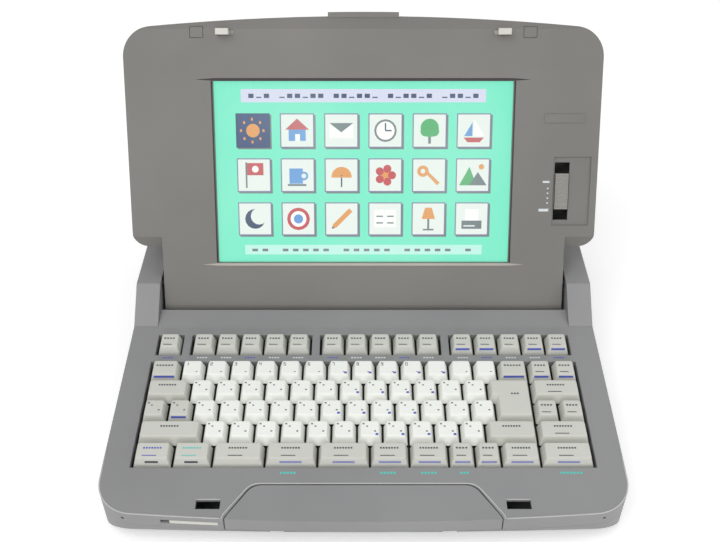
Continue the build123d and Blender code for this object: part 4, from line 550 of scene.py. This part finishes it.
INK = printed_ink()
DARK_INK, BLUE_INK, TEAL_INK = paint(58, 60, 72), paint(64, 84, 190), paint(70, 205, 192)
PALE_INK, SOFT_BLUE = paint(214, 220, 224), paint(132, 138, 190)
PRINT_LIFT = 0.09  # millimetres over the cap, clear of the facets of the scoop
STROKES = {  # the seven strokes of a plain digit, as x0, x1, y0, y1 in a unit box 0.6 wide
    "a": (0, 0.6, 0.86, 1), "b": (0.46, 0.6, 0.5, 1), "c": (0.46, 0.6, 0, 0.5),
    "d": (0, 0.6, 0, 0.14), "e": (0, 0.14, 0, 0.5), "f": (0, 0.14, 0.5, 1),
    "g": (0, 0.6, 0.43, 0.57),
}
DIGITS = "abcdef bc abged abgcd fgbc afgcd afgedc abc abcdefg abcdfg".split()


def digit(number, x, v, tall):
    """Patches of one digit whose lower left corner is at (x, v)."""
    return [
        (x + x0 * tall, x + x1 * tall, v + y0 * tall, v + y1 * tall)
        for x0, x1, y0, y1 in (STROKES[stroke] for stroke in DIGITS[number])
    ]


# %% Which cap has which marks
NARROW = 20.0  # millimetres: a cap of one pitch is narrower than this
SQUARES = {"number_row_keys": range(7, 12), "upper_letter_keys": range(7, 11),
           "home_letter_keys": range(7, 11), "lower_letter_keys": range(6, 10)}
BARS = {"function_keys": (11, 12, 14, 15), "home_letter_keys": (1,), "number_row_keys": (0, 14),
        "bottom_row_keys": range(3, 11), "edit_keys": (4, 5)}
random = np.random.default_rng(7)


def cap_marks(name, index, place):
    """Marks of one cap as (patch, colour): digits on the number row, dots and dashes elsewhere."""
    x0, x1, v0, v1 = place
    left, right, front, back = x0 + 4.2, x1 - 4.2, v0 + 5.6, v1 - 3.2
    marks = []
    if name == "number_row_keys" and 1 <= index <= 13:
        if index <= 10:
            marks += [(patch, DARK_INK) for patch in digit(index % 10, left, back - 3.2, 3.0)]
        marks += [((right - 2.2, right - 0.9, front + 0.6, front + 1.3), DARK_INK)]
    elif "letter" in name and x1 - x0 < NARROW:
        slip = 0.3 * random.random()
        dots = [
            (left, left + 1.4, back - 1.6, back - 0.5),
            (left + 2.6 + slip, left + 3.9 + slip, back - 3.6, back - 2.6),
            (right - 2.2, right - 0.8, front + 2.3, front + 3.3),
        ]
        marks += [(patch, DARK_INK) for patch in dots]
    else:
        middle, half = (x0 + x1) / 2, min((x1 - x0) / 2 - 5.0, 7.0)
        inks = {0: BLUE_INK, 1: TEAL_INK} if name == "bottom_row_keys" else {}
        ink = inks.get(index, DARK_INK)
        dashes = max(2, int(half))
        for step in range(dashes):
            start = middle - half + 2 * half * step / dashes
            marks += [((start, start + half / dashes * 1.3, back - 3.6, back - 2.2), ink)]
        if name in ("bottom_row_keys", "edit_keys", "function_keys"):
            marks += [((middle - half, middle + half * 0.5, front + 0.6, front + 1.3), ink)]
    if index in SQUARES.get(name, ()):
        marks += [((right - 1.2, right + 0.9, front - 0.9, front + 0.9), BLUE_INK)]
    return marks


def cap_bands(name, index, place):
    """Bars on a cap's front slope, as (x0, x1, v0, low and high share of the slope, colour)."""
    x0, x1, v0 = place[:3]
    middle, half = (x0 + x1) / 2, min((x1 - x0) / 2 - 4.0, 8.0)
    bottom = name == "bottom_row_keys"
    if index in BARS.get(name, ()):
        low, ink = (0.5, SOFT_BLUE) if bottom else (0.62, BLUE_INK)
        return [(middle - half, middle + half, v0, low, low + 0.2, ink)]
    if bottom and index < 2:
        return [(middle - half * 0.6, middle + half * 0.6, v0, 0.5, 0.7, DARK_INK)]
    return []


# %% Marks as points
BAR_INSET, BAR_LIFT = 0.70, 0.02  # millimetres: a little outside CAP_GAP, a little over the slope


def band_points(bands):
    """Four points a bar: it lies on the front slope, a twentieth of a millimetre proud of it."""
    x0, x1, v0, low, high = np.array([band[:5] for band in bands], float).reshape(-1, 5).T
    x = np.stack([x0, x1, x1, x0], 1).ravel()
    share = np.stack([low, low, high, high], 1).ravel()
    v = np.repeat(v0, 4) + BAR_INSET + FRONT_LEAN * share
    return np.column_stack([x, v, CAP_FOOT + CAP_RISE * share + BAR_LIFT])


def patch_points(patches, height):
    """Four points a patch, at the height that the function gives for x."""
    x0, x1, v0, v1 = np.array(patches, float).T
    x = np.stack([x0, x1, x1, x0], 1).ravel()
    v = np.stack([v0, v0, v1, v1], 1).ravel()
    return np.column_stack([x, v, height(x)])


# %% Make the keys
ALL_GREY = {"bottom_row_keys", "shift_keys", "edit_keys", "function_keys", "enter_key"}
SOME_GREY = {"home_letter_keys": (0, 1), "upper_letter_keys": (0,), "number_row_keys": (0, 14)}


def make_keys(name, caps):
    """One piece for a group of caps: each cap's surface, then its marks as flat patches."""
    points, faces, kinds, colours, count = [], [], [], [], 0
    for index, (corners, centre, marks, bands) in enumerate(caps):
        surface, quads = cap_surface(corners, centre)
        grey = name in ALL_GREY or index in SOME_GREY.get(name, ())
        middle, half = top_span(corners)
        patches = [patch for patch, _ in marks]
        printed = patch_points(patches, lambda x: scooped(x, middle, half) + PRINT_LIFT)
        printed = np.concatenate([printed, band_points(bands)])
        print_faces = np.arange(len(printed)).reshape(-1, 4) + count + len(surface)
        faces += [[count + i for i in quad] for quad in quads] + print_faces.tolist()
        kinds += [int(grey)] * len(quads) + [2] * (len(marks) + len(bands))
        colours += [PALE_INK] * len(quads) + [ink for _, ink in marks] + [band[5] for band in bands]
        points += [surface, printed]
        count += len(surface) + len(printed)
    piece = make_piece(name + "_caps", on_deck(np.concatenate(points)), faces,
                       [CAP_WHITE, CAP_GREY, INK], name, kinds, colours)
    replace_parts(piece, name)
    return count


made = 0
for name, places in KEYS.items():
    caps = []
    for i, place in enumerate(places):
        centre = np.array([(place[0] + place[1]) / 2, (place[2] + place[3]) / 2 + 1.2])
        marks, bands = cap_marks(name, i, place), cap_bands(name, i, place)
        caps.append((box_corners(place), centre, marks, bands))
    made += make_keys(name, caps)
leg = cell(14, 1.5, 2)
enter_middle = np.array([(leg[0] + leg[1]) / 2 + 1, leg[3] + 6])
x, v = enter_middle[0], leg[3]
enter_marks = [
    ((x - 3.0 + step, x - 1.6 + step, v + 4, v + 5.4), DARK_INK) for step in (0.0, 2.2, 4.4)
]
made += make_keys("enter_key", [(enter_corners, enter_middle, enter_marks, [])])
print("keycap points", made)

# %% [markdown]
# ## The lit display
# The display is a backlit panel that shows a menu of square tiles. The picture is this
# lesson's own: plain objects on pale tiles, on the same green light. It is drawn as flat
# polygons, a hundredth of a millimetre apart, so each shape stays crisp, and one finish
# makes each face glow in its own colour, a little uneven as a real backlight is.

# %% Display light
def lit_display():
    """Backlit picture: each face glows in its own colour, with a slow drift in brightness."""
    finish = Finish("lit_display", Roughness=0.5, Emission_Strength=0.88)
    ink = finish.node("Attribute", "Color", {"attribute_name": "ink"})
    uneven = finish.noise(0.09, 1.0)
    glow = finish.mix((uneven - 0.35).clear() * 0.35, ink, paint(220, 250, 240))
    return finish.drive(Base_Color=finish.mix(0.85, glow, paint(20, 30, 30)), Emission_Color=glow)


GLOW = lit_display()
TEAL, TILE, SHADE = paint(116, 232, 196), paint(232, 238, 232), paint(110, 116, 122)
FRAME_TONE, NAVY, DARK_TILE = paint(120, 112, 150), paint(30, 34, 92), paint(40, 46, 110)
RED, ORANGE, GREEN = paint(196, 60, 72), paint(226, 150, 70), paint(70, 170, 96)
SKY, WHITE = paint(96, 150, 214), paint(250, 250, 246)


def oblong(x0, y0, x1, y1):
    return [(x0, y0), (x1, y0), (x1, y1), (x0, y1)]


def disc(x, y, radius, start=0.0, end=360.0, steps=16):
    """Part of a disc as a polygon: points at equal angles from the start to the end."""
    angle = np.radians(np.linspace(start, end, steps, endpoint=end - start < 360))
    return list(zip(x + radius * np.cos(angle), y + radius * np.sin(angle)))


def ringed(radius, count, last):
    """Places (x, y) on a circle round the middle of a tile, at equal angles from 0 to the last."""
    angle = np.linspace(0, last, count)
    return zip(0.5 + radius * np.cos(angle), 0.5 + radius * np.sin(angle))


# %% Motifs
MOTIFS = [  # each motif: polygons in a unit square, back to front
    [(disc(0.5, 0.5, 0.2), ORANGE)]
    + [(oblong(x - 0.05, y - 0.04, x + 0.01, y + 0.04), ORANGE) for x, y in ringed(0.33, 8, 5.5)],
    [(oblong(0.25, 0.2, 0.75, 0.55), SKY), ([(0.15, 0.53), (0.85, 0.53), (0.5, 0.85)], RED),
     (oblong(0.44, 0.2, 0.58, 0.4), WHITE)],
    [(oblong(0.15, 0.28, 0.85, 0.72), WHITE), ([(0.15, 0.72), (0.5, 0.45), (0.85, 0.72)], SHADE)],
    [(disc(0.5, 0.5, 0.33), SHADE), (disc(0.5, 0.5, 0.27), WHITE),
     (oblong(0.48, 0.5, 0.52, 0.72), NAVY), (oblong(0.5, 0.48, 0.68, 0.52), NAVY)],
    [(oblong(0.46, 0.12, 0.54, 0.4), SHADE), (disc(0.5, 0.58, 0.27), GREEN),
     (disc(0.38, 0.48, 0.15), GREEN), (disc(0.63, 0.48, 0.15), GREEN)],
    [([(0.2, 0.3), (0.8, 0.3), (0.68, 0.16), (0.32, 0.16)], RED),
     ([(0.5, 0.34), (0.5, 0.85), (0.82, 0.34)], WHITE),
     ([(0.46, 0.34), (0.46, 0.75), (0.22, 0.34)], SKY)],
    [(oblong(0.25, 0.12, 0.3, 0.88), SHADE), (oblong(0.3, 0.5, 0.78, 0.86), RED),
     (disc(0.54, 0.68, 0.1), WHITE)],
    [(oblong(0.25, 0.25, 0.65, 0.7), SKY), (disc(0.68, 0.48, 0.13), SKY),
     (disc(0.68, 0.48, 0.07), TILE), (oblong(0.2, 0.18, 0.75, 0.24), SHADE)],
    [(disc(0.5, 0.45, 0.3, 0, 180, 12), ORANGE), (oblong(0.48, 0.15, 0.52, 0.5), NAVY),
     (oblong(0.2, 0.43, 0.8, 0.47), ORANGE)],
    [(disc(0.5, 0.5, 0.12), ORANGE)] + [(disc(x, y, 0.12), RED) for x, y in ringed(0.2, 5, 5.03)],
    [(disc(0.32, 0.62, 0.17), ORANGE), (disc(0.32, 0.62, 0.07), TILE),
     ([(0.4, 0.56), (0.46, 0.62), (0.82, 0.28), (0.74, 0.2)], ORANGE)],
    [([(0.1, 0.2), (0.4, 0.75), (0.62, 0.2)], GREEN),
     ([(0.4, 0.2), (0.65, 0.6), (0.92, 0.2)], SHADE), (disc(0.75, 0.75, 0.08), ORANGE)],
    [(disc(0.5, 0.5, 0.3), NAVY), (disc(0.62, 0.58, 0.25), TILE)],
    [(disc(0.5, 0.5, 0.34), RED), (disc(0.5, 0.5, 0.24), WHITE), (disc(0.5, 0.5, 0.14), SKY)],
    [([(0.2, 0.2), (0.34, 0.24), (0.82, 0.72), (0.72, 0.82), (0.24, 0.34)], ORANGE),
     ([(0.2, 0.2), (0.28, 0.22), (0.22, 0.28)], NAVY)],
    [(oblong(0.18, 0.25, 0.49, 0.78), WHITE), (oblong(0.51, 0.25, 0.82, 0.78), WHITE)]
    + [(oblong(x, y, x + 0.2, y + 0.04), SHADE) for y in (0.36, 0.56) for x in (0.24, 0.56)],
    [([(0.3, 0.5), (0.7, 0.5), (0.6, 0.84), (0.4, 0.84)], ORANGE),
     (oblong(0.47, 0.2, 0.53, 0.5), SHADE), (oblong(0.34, 0.15, 0.66, 0.2), SHADE)],
    [(oblong(0.2, 0.2, 0.8, 0.45), SHADE), (oblong(0.3, 0.45, 0.7, 0.8), WHITE),
     (oblong(0.26, 0.27, 0.6, 0.31), TILE)],
]
print("motifs", len(MOTIFS))

# %% Draw the menu
SCREEN = (-119.6, 17.8, 119.6, 164.9)
TILE_SIDE, TILE_ACROSS, TILE_UP, TILE_EDGE, TILE_SHADOW = 27.5, 35.6, 36.0, 0.9, 1.2
COLUMNS, ROWS, TILES_FRONT = 6, 3, 40.0
PICTURE_HEIGHT, LAYER_STEP = 2.52, 0.012  # millimetres over the lid's sheet


def square(x, s, inset=0.0):
    """A tile's square from its corner (x, s), drawn in by the inset on all sides."""
    return oblong(x + inset, s + inset, x + TILE_SIDE - inset, s + TILE_SIDE - inset)


def draw_menu():
    """All polygons as (points in mm on the lid's sheet, colour, layer)."""
    shapes = [(oblong(*SCREEN), TEAL, 0)]
    for index, motif in enumerate(MOTIFS):
        column, row = index % COLUMNS, index // COLUMNS
        x = -3 * TILE_ACROSS + 4.05 + column * TILE_ACROSS
        s = TILES_FRONT + (ROWS - 1 - row) * TILE_UP
        edge, face = (FRAME_TONE, TILE) if index else (NAVY, DARK_TILE)
        near, far = x + TILE_SHADOW, x + TILE_SIDE + TILE_SHADOW
        shapes += [(oblong(near, s - TILE_SHADOW, far, s + TILE_SIDE - TILE_SHADOW), SHADE, 1)]
        shapes += [(square(x, s), edge, 2), (square(x, s, TILE_EDGE), face, 3)]
        for layer, (polygon, colour) in enumerate(motif):
            points = [(x + px * TILE_SIDE, s + py * TILE_SIDE) for px, py in polygon]
            shapes.append((points, colour, 4 + layer))
    shapes += [(oblong(-98, 148.2, 98, 158.6), paint(214, 214, 236), 1)]
    for step in range(30):
        start = -92 + step * 6.2
        if step % 7 != 3:
            top = 152.6 + 2.4 * (step % 3 != 1)
            shapes.append((oblong(start, 151.6, start + 4.2, top), NAVY, 2))
    shapes += [(oblong(-98, 24.0, 98, 32.0), paint(190, 240, 226), 1)]
    for step in range(22):
        start = -92 + step * 8.4
        if step % 6 != 2:
            shapes.append((oblong(start, 26.6, start + 4.6, 28.8), SHADE, 2))
    return shapes


menu = draw_menu()
menu_points = [
    (x, s, PICTURE_HEIGHT + LAYER_STEP * layer) for polygon, _, layer in menu for x, s in polygon
]
sizes = np.array([len(polygon) for polygon, _, _ in menu])
starts = np.concatenate([[0], np.cumsum(sizes)[:-1]])
menu_faces = [list(range(start, start + size)) for start, size in zip(starts, sizes)]
menu_colours = [colour for _, colour, _ in menu]
make_piece("menu_picture", on_lid(menu_points), menu_faces, [GLOW], "lid",
           colours=menu_colours, smooth=False)
print("menu shapes", len(menu))

# %% [markdown]
# ## Trim of the lid and the deck
# The display sits behind four sills. The top one is coloured dark as painted shade, the
# bottom one pale as a painted highlight, and both run out to a point past the corners; the
# two at the sides are dark as painted shade too. The slider has ribs for the thumb, a small
# bare plate lies above it, and two plugs sit near the front corners. The strips are a
# half-round profile carried along a line, and the plate and the plugs are outlines stacked
# on one another, as the keycaps are.

# %% Swept beads and raised plates
LID_FACE, SLIDER_FACE = 6.5, 7.1  # millimetres over the lid's sheet
BEAD_STEPS, SUNK = 9, 0.05  # points across a bead, millimetres that its foot is let in


def bead(x, s, half_width, rise, floor=LID_FACE):
    """A half-round bead along points (x, s) in mm: at each station a half circle across the line,
    stretched to the half width and the rise there, closed by a flat underside just below."""
    line = np.column_stack([x, s]).astype(float)
    along = np.gradient(line, axis=0)
    across = np.column_stack([along[:, 1], -along[:, 0]])
    across /= np.linalg.norm(along, axis=1, keepdims=True)
    angle = np.linspace(0, math.pi, BEAD_STEPS)
    reach = np.broadcast_to(half_width, len(line))[:, None] * np.cos(angle)
    up = floor - SUNK + (np.broadcast_to(rise, len(line))[:, None] + SUNK) * np.sin(angle)
    flat = line[:, None, :] + reach[..., None] * across[:, None, :]
    points = np.concatenate([flat, up[..., None]], -1)
    start, end = points[0].mean(0)[None], points[-1].mean(0)[None]
    first = len(line) * BEAD_STEPS + 1
    closing = [[(k + 1) % BEAD_STEPS, k, first] for k in range(BEAD_STEPS)]
    points = np.concatenate([points.reshape(-1, 3), end, start])
    return points, stack_faces(len(line), BEAD_STEPS) + closing


def plate(x0, x1, s0, s1, rise, radius, floor=LID_FACE):
    """A thin raised plate: its rounded outline at the foot, again near the top, drawn in at the
    top, and closed."""
    box = np.array([[x0, s0], [x1, s0], [x1, s1], [x0, s1]], float)
    middle = box.mean(0)
    rings = []
    for inset, height in ((0, -SUNK), (0, rise * 0.7), (0.25, rise)):
        inner = middle + (box - middle) * (1 - inset / np.abs(box - middle))
        outline = rounded_outline(inner, radius)
        rings.append(np.column_stack([outline, np.full(len(outline), floor + height)]))
    points = np.concatenate(rings + [np.array([[*middle, floor + rise]])])
    return points, stack_faces(len(rings), len(rings[0]))


def join_shapes(shapes):
    """Several (points, faces) as one, with the face numbers moved on."""
    counts = np.cumsum([0] + [len(points) for points, _ in shapes[:-1]])
    faces = []
    for (_, quads), count in zip(shapes, counts):
        faces += [[int(i + count) for i in face] for face in quads]
    return np.concatenate([points for points, _ in shapes]), faces


# %% Sills, ribs and plate
SILL_S, SHADE_S, SIDE_X = 16.2, 166.2, 120.5  # the four sills, in mm on the lid's sheet
SLIDER_S, RIB_REACH, RIBS = 77, 12.6, 13
run_out = np.linspace(-1, 1, 41)
fullness = np.clip((1 - np.abs(run_out)) * 9, 0.02, 1)
# The bottom sill, pale as a painted highlight.
points, quads = bead(run_out * 134, np.full(41, SILL_S), 1.35 * fullness, 0.9 * fullness)
make_piece("display_sill_highlight", on_lid(points), quads, [SILL_HIGHLIGHT], "lid")
# The top and side sills, dark as painted shade.
shade = [bead(run_out * 133, np.full(41, SHADE_S), 1.1 * fullness, 0.35 * fullness)]
for side in (-1, 1):
    shade.append(bead(np.full(9, side * SIDE_X), np.linspace(18, 165, 9), 0.6, 0.25))
points, quads = join_shapes(shade)
make_piece("display_shade", on_lid(points), quads, [SHADOW], "lid")
ribs = [
    bead(np.linspace(156.6, 165.4, 5), np.full(5, SLIDER_S + step), 0.55, 0.45, SLIDER_FACE)
    for step in np.linspace(-RIB_REACH, RIB_REACH, RIBS)
]
points, quads = join_shapes(ribs)
make_piece("slider_ribs", on_lid(points), quads, [KNOB_GREY], "contrast_slider")
points, quads = plate(144.5, 178.0, 132.0, 139.5, 0.5, 1.5)
make_piece("bare_plate", on_lid(points), quads, [LID], "lid")
print("ribs", len(ribs))

# %% Plugs of the front wall
PLUG_X, PLUG_Y, PLUG_Z, PLUG_R, PLUG_STEPS = 166.5, -160.8, 29.0, 1.6, 16
angles = np.linspace(0, 2 * math.pi, PLUG_STEPS + 1)[:-1] * -1
plugs = []
for side in (-1, 1):
    turn, ring = np.meshgrid(angles, np.linspace(PLUG_R, 0.4, 4))
    depth = PLUG_Y - 0.6 * (PLUG_R - ring)
    plug = np.stack([side * PLUG_X + ring * np.cos(turn), depth, PLUG_Z + ring * np.sin(turn)], -1)
    tip = [[side * PLUG_X, PLUG_Y - 1.0, PLUG_Z]]
    plugs.append((np.concatenate([plug.reshape(-1, 3), tip]), stack_faces(4, PLUG_STEPS)))
points, quads = join_shapes(plugs)
make_piece("front_plugs", points / 1000, quads, [RUBBER], "base")
print("plugs", len(plugs))

# %% [markdown]
# ## Painted highlights on the rims of the deck
# The deck's front edge is a pale line where it catches the light, and so are the lips of
# the handle's recess and of the two hook slots. The edge mask in the plastic is too fine
# to be seen from here, so these lips are real: thin half-round beads that follow the same
# bow, corners and recess as the shell under them, in a pale colour that is a painted
# highlight.

# %% Lips along the front edge, the recess and the slots
BOW_R, CORNER_R, CORNER_X, CORNER_V = 2201.0, 28.0, 159.49, 33.86


def front_line(inward):
    """Right half of the front edge, moved in: the bow, part of a circle of 2.2 m, then a quarter
    turn round the corner, and a short way along the side."""
    x = np.linspace(98.2, 160.0, 16)
    bow = np.column_stack([x, BOW_R - np.sqrt((BOW_R - inward) ** 2 - x**2)])
    turn, radius = np.radians(np.linspace(-84, 0, 15)), CORNER_R - inward
    corner = np.column_stack([CORNER_X + radius * np.cos(turn), CORNER_V + radius * np.sin(turn)])
    return np.concatenate([bow, corner, [[CORNER_X + radius, 60.0]]])


def soft_path(corners, reach):
    """An open path through corners: each inner one becomes a quadratic curve between the two
    points that lie its own reach away."""
    inner, away = corners[1:-1], np.asarray(reach)[:, None]
    before, after = corners[:-2] - inner, corners[2:] - inner
    start = inner + away * before / np.linalg.norm(before, axis=1, keepdims=True)
    end = inner + away * after / np.linalg.norm(after, axis=1, keepdims=True)
    curve = [(1 - t) ** 2 * start + 2 * t * (1 - t) * inner + t**2 * end for t in ROUND_STEPS]
    return np.concatenate([corners[:1], np.stack(curve, 1).reshape(-1, 2), corners[-1:]])


SLOT_X, SLOT_V, SLOT_HALF = 108, 17.6, 8.6
RECESS_HALF = [[97.5, 2.6], [97.5, 5.0], [79.5, 30.4]]  # right half, from the front edge back
lips = []
for side in (-1, 1):
    edge = front_line(0.55) * (side, 1)
    lips.append(bead(edge[:, 0], edge[:, 1], 0.5, 0.18, 0.0))
    along_slot = side * SLOT_X + np.linspace(-SLOT_HALF, SLOT_HALF, 5)
    lips.append(bead(along_slot, np.full(5, SLOT_V), 0.45, 0.2, 0.0))
recess = np.array([[-x, v] for x, v in RECESS_HALF] + RECESS_HALF[::-1])
recess = soft_path(recess, (1.8, 6.3, 6.3, 1.8))
lips.append(bead(recess[:, 0], recess[:, 1], 0.45, 0.16, 0.0))
points, quads = join_shapes(lips)
# The lips' pale colour is a painted highlight.
make_piece("deck_lip_highlights", on_deck(points), quads, [RIM_HIGHLIGHT], "base")
print("lips", len(lips))

# %% [markdown]
# ## Grips of the printer
# The knob that winds paper by hand stands out of the right side. Its rim is fluted for
# the fingers: a turned profile whose radius ripples with the angle. The cover over the
# ribbon has five short ribs where a finger pushes it open.

# %% Fluted knob and cover ribs
KNOB_STEPS, FLUTES, FLUTE_DEPTH = 144, 24, 0.035
low, high = (np.array(corner) * 1000 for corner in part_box("platen_knob"))
axis_y, axis_z, outer = (low[1] + high[1]) / 2, (low[2] + high[2]) / 2, (high[2] - low[2]) / 2
profile = np.array(  # x in mm, and the share of the outer radius there
    [[low[0], 0.4], [low[0], 0.9], [low[0] + 0.8, 1], [high[0] - 1.4, 1], [high[0] - 0.5, 0.95],
     [high[0], 0.86], [high[0], 0.74], [high[0] - 0.5, 0.68], [high[0] - 0.5, 0.3]]
)
angle = np.linspace(0, 2 * math.pi, KNOB_STEPS + 1)[:-1]
flute = 1 - FLUTE_DEPTH * (0.5 + 0.5 * np.cos(FLUTES * angle)) ** 2
radius = outer * profile[:, 1:] * np.where(profile[:, 1:] > 0.92, flute, 1.0)
across = np.repeat(profile[:, :1], KNOB_STEPS, 1)
knob = np.stack([across, axis_y + radius * np.cos(angle), axis_z + radius * np.sin(angle)], -1)
poles = [[high[0] - 0.5, axis_y, axis_z], [low[0], axis_y, axis_z]]
knob = np.concatenate([knob.reshape(-1, 3), poles])
first = len(profile) * KNOB_STEPS + 1
quads = stack_faces(len(profile), KNOB_STEPS)
quads += [[(k + 1) % KNOB_STEPS, k, first] for k in range(KNOB_STEPS)]
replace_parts(make_piece("fluted_knob", knob / 1000, quads, [BLACK], "platen"), "platen_knob")
low, high = (np.array(corner) * 1000 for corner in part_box("printer_cover"))
grip_line = np.linspace(-16, 16, 9)
grips = [bead(grip_line, np.full(9, low[1] + 4 + 2.4 * k), 0.6, 0.5, high[2]) for k in range(5)]
points, quads = join_shapes(grips)
make_piece("cover_grip", points / 1000, quads, [CASE], "printer_cover")
print("knob radius", round(outer, 2), "mm")

# %% Marks on the deck and beside the slider
DECK_RUNS = ((-59.5, -47.3), (11.8, 26.1), (41.1, 53.9), (68.9, 78.2), (140.2, 158.0))
PRINT_OVER = 0.03  # millimetres over the deck or the lid


def print_patches(name, patches, height, to_frame, body):
    """One flat printed piece from (patch, colour) pairs, at a height on a tilted sheet."""
    points = patch_points([patch for patch, _ in patches], lambda x: np.full(len(x), height))
    faces = np.arange(len(points)).reshape(-1, 4)
    make_piece(name, to_frame(points), faces, [INK], body,
               colours=[ink for _, ink in patches], smooth=False)


deck_patches = []
for x0, x1 in DECK_RUNS:
    for k in range(int((x1 - x0) / 2.4)):
        deck_patches += [((x0 + 2.4 * k, x0 + 2.4 * k + 1.7, 38.0, 39.7), TEAL_INK)]
for number, start in enumerate(FUNCTION_STARTS):
    left = FIELD_LEFT + (start + 0.28) * PITCH
    ink = PALE_INK if number % 3 else BLUE_INK
    deck_patches += [((left + 2.2 * k, left + 2.2 * k + 1.5, 143.8, 145.0), ink) for k in range(4)]
print_patches("deck_print", deck_patches, PRINT_OVER, on_deck, "base")
lid_patches = [((143, 151, 60.6, 62.8), PALE_INK), ((145.5, 151, 84, 85.6), PALE_INK)]
lid_patches += [((149.2, 150.4, s, s + 1.1), PALE_INK) for s in (67, 71, 75, 79)]
print_patches("slider_scale", lid_patches, LID_FACE + PRINT_OVER, on_lid, "lid")
print("marks", len(deck_patches) + len(lid_patches))

# %% [markdown]
# ## Floor and light
# The machine stands on a plain white sheet under soft light, with no horizon. A curved
# backdrop would hide it from behind, so the floor is one wide sheet and the world is
# white where the camera looks. The floor glows a little for the camera, and in gloss and
# glass, so that it is white next to the machine but still keeps its shadow.

# %% Floor
def white_floor():
    """Matt white for the light; seen directly, in gloss or through glass it also glows to white."""
    finish = Finish("white_floor", Base_Color=(0.86, 0.86, 0.86, 1.0), Roughness=0.9)
    seen = finish.node("LightPath", "Is Camera Ray") + finish.node("LightPath", "Is Glossy Ray")
    seen = (seen + finish.node("LightPath", "Is Transmission Ray")).clear()
    finish.shader.inputs["Emission Color"].default_value = (1, 1, 1, 1)
    feed(finish.tree, finish.shader.inputs["Emission Strength"], seen * 0.34)
    return finish.material


FLOOR_HALF, FLOOR_LINES = 40, 9  # metres from the middle to the edge, lines each way
lines = np.linspace(-FLOOR_HALF, FLOOR_HALF, FLOOR_LINES)
floor_grid = np.stack(np.meshgrid(lines, lines, indexing="ij"), -1).reshape(-1, 2)
i, j = np.meshgrid(np.arange(FLOOR_LINES - 1), np.arange(FLOOR_LINES - 1), indexing="ij")
here, beyond = i * FLOOR_LINES + j, (i + 1) * FLOOR_LINES + j
floor_quads = np.stack([here, beyond, beyond + 1, here + 1], -1).reshape(-1, 4)
floor_points = np.column_stack([floor_grid, np.zeros(len(floor_grid))])
floor_mesh = bpy.data.meshes.new("floor_sheet")
floor_mesh.from_pydata(floor_points.tolist(), [], floor_quads.tolist())
floor_mesh.materials.append(white_floor())
floor = bpy.data.objects.new("floor_sheet", floor_mesh)
bpy.context.scene.collection.objects.link(floor)

# %% Lights and world
def soft_box(name, place, target, size, watts):
    """A square area light at a place, turned to face the target."""
    light = bpy.data.lights.new(name, "AREA")
    light.shape, light.size, light.energy = "SQUARE", size, watts
    lamp = bpy.data.objects.new(name, light)
    lamp.location = place
    aim = np.array(target) - np.array(place)
    tilt, heading = math.atan2(math.hypot(aim[0], aim[1]), -aim[2]), math.atan2(aim[1], aim[0])
    lamp.rotation_euler = (tilt, 0.0, heading - math.pi / 2)
    bpy.context.scene.collection.objects.link(lamp)
    return lamp


AIM = (0, 0, 0.05)
soft_box("key_light", (-0.7, -0.9, 1.7), AIM, 1.2, 12.0)
soft_box("fill_light", (1.3, -0.4, 1.2), AIM, 1.0, 4.0)
soft_box("front_light", (0.0, -1.9, 0.5), AIM, 0.9, 7.0)
world = bpy.data.worlds.new("studio")
bpy.context.scene.world = world
world.use_nodes = True
sky = world.node_tree
background = sky.nodes["Background"]
paths = sky.nodes.new("ShaderNodeLightPath")
seen = Signal(sky, paths.outputs["Is Camera Ray"])
seen = (seen + Signal(sky, paths.outputs["Is Transmission Ray"])).clear()
background.inputs["Color"].default_value = (1, 1, 1, 1)
feed(sky, background.inputs["Strength"], seen * 0.4 + 0.62)
print("lights", len(bpy.data.lights))
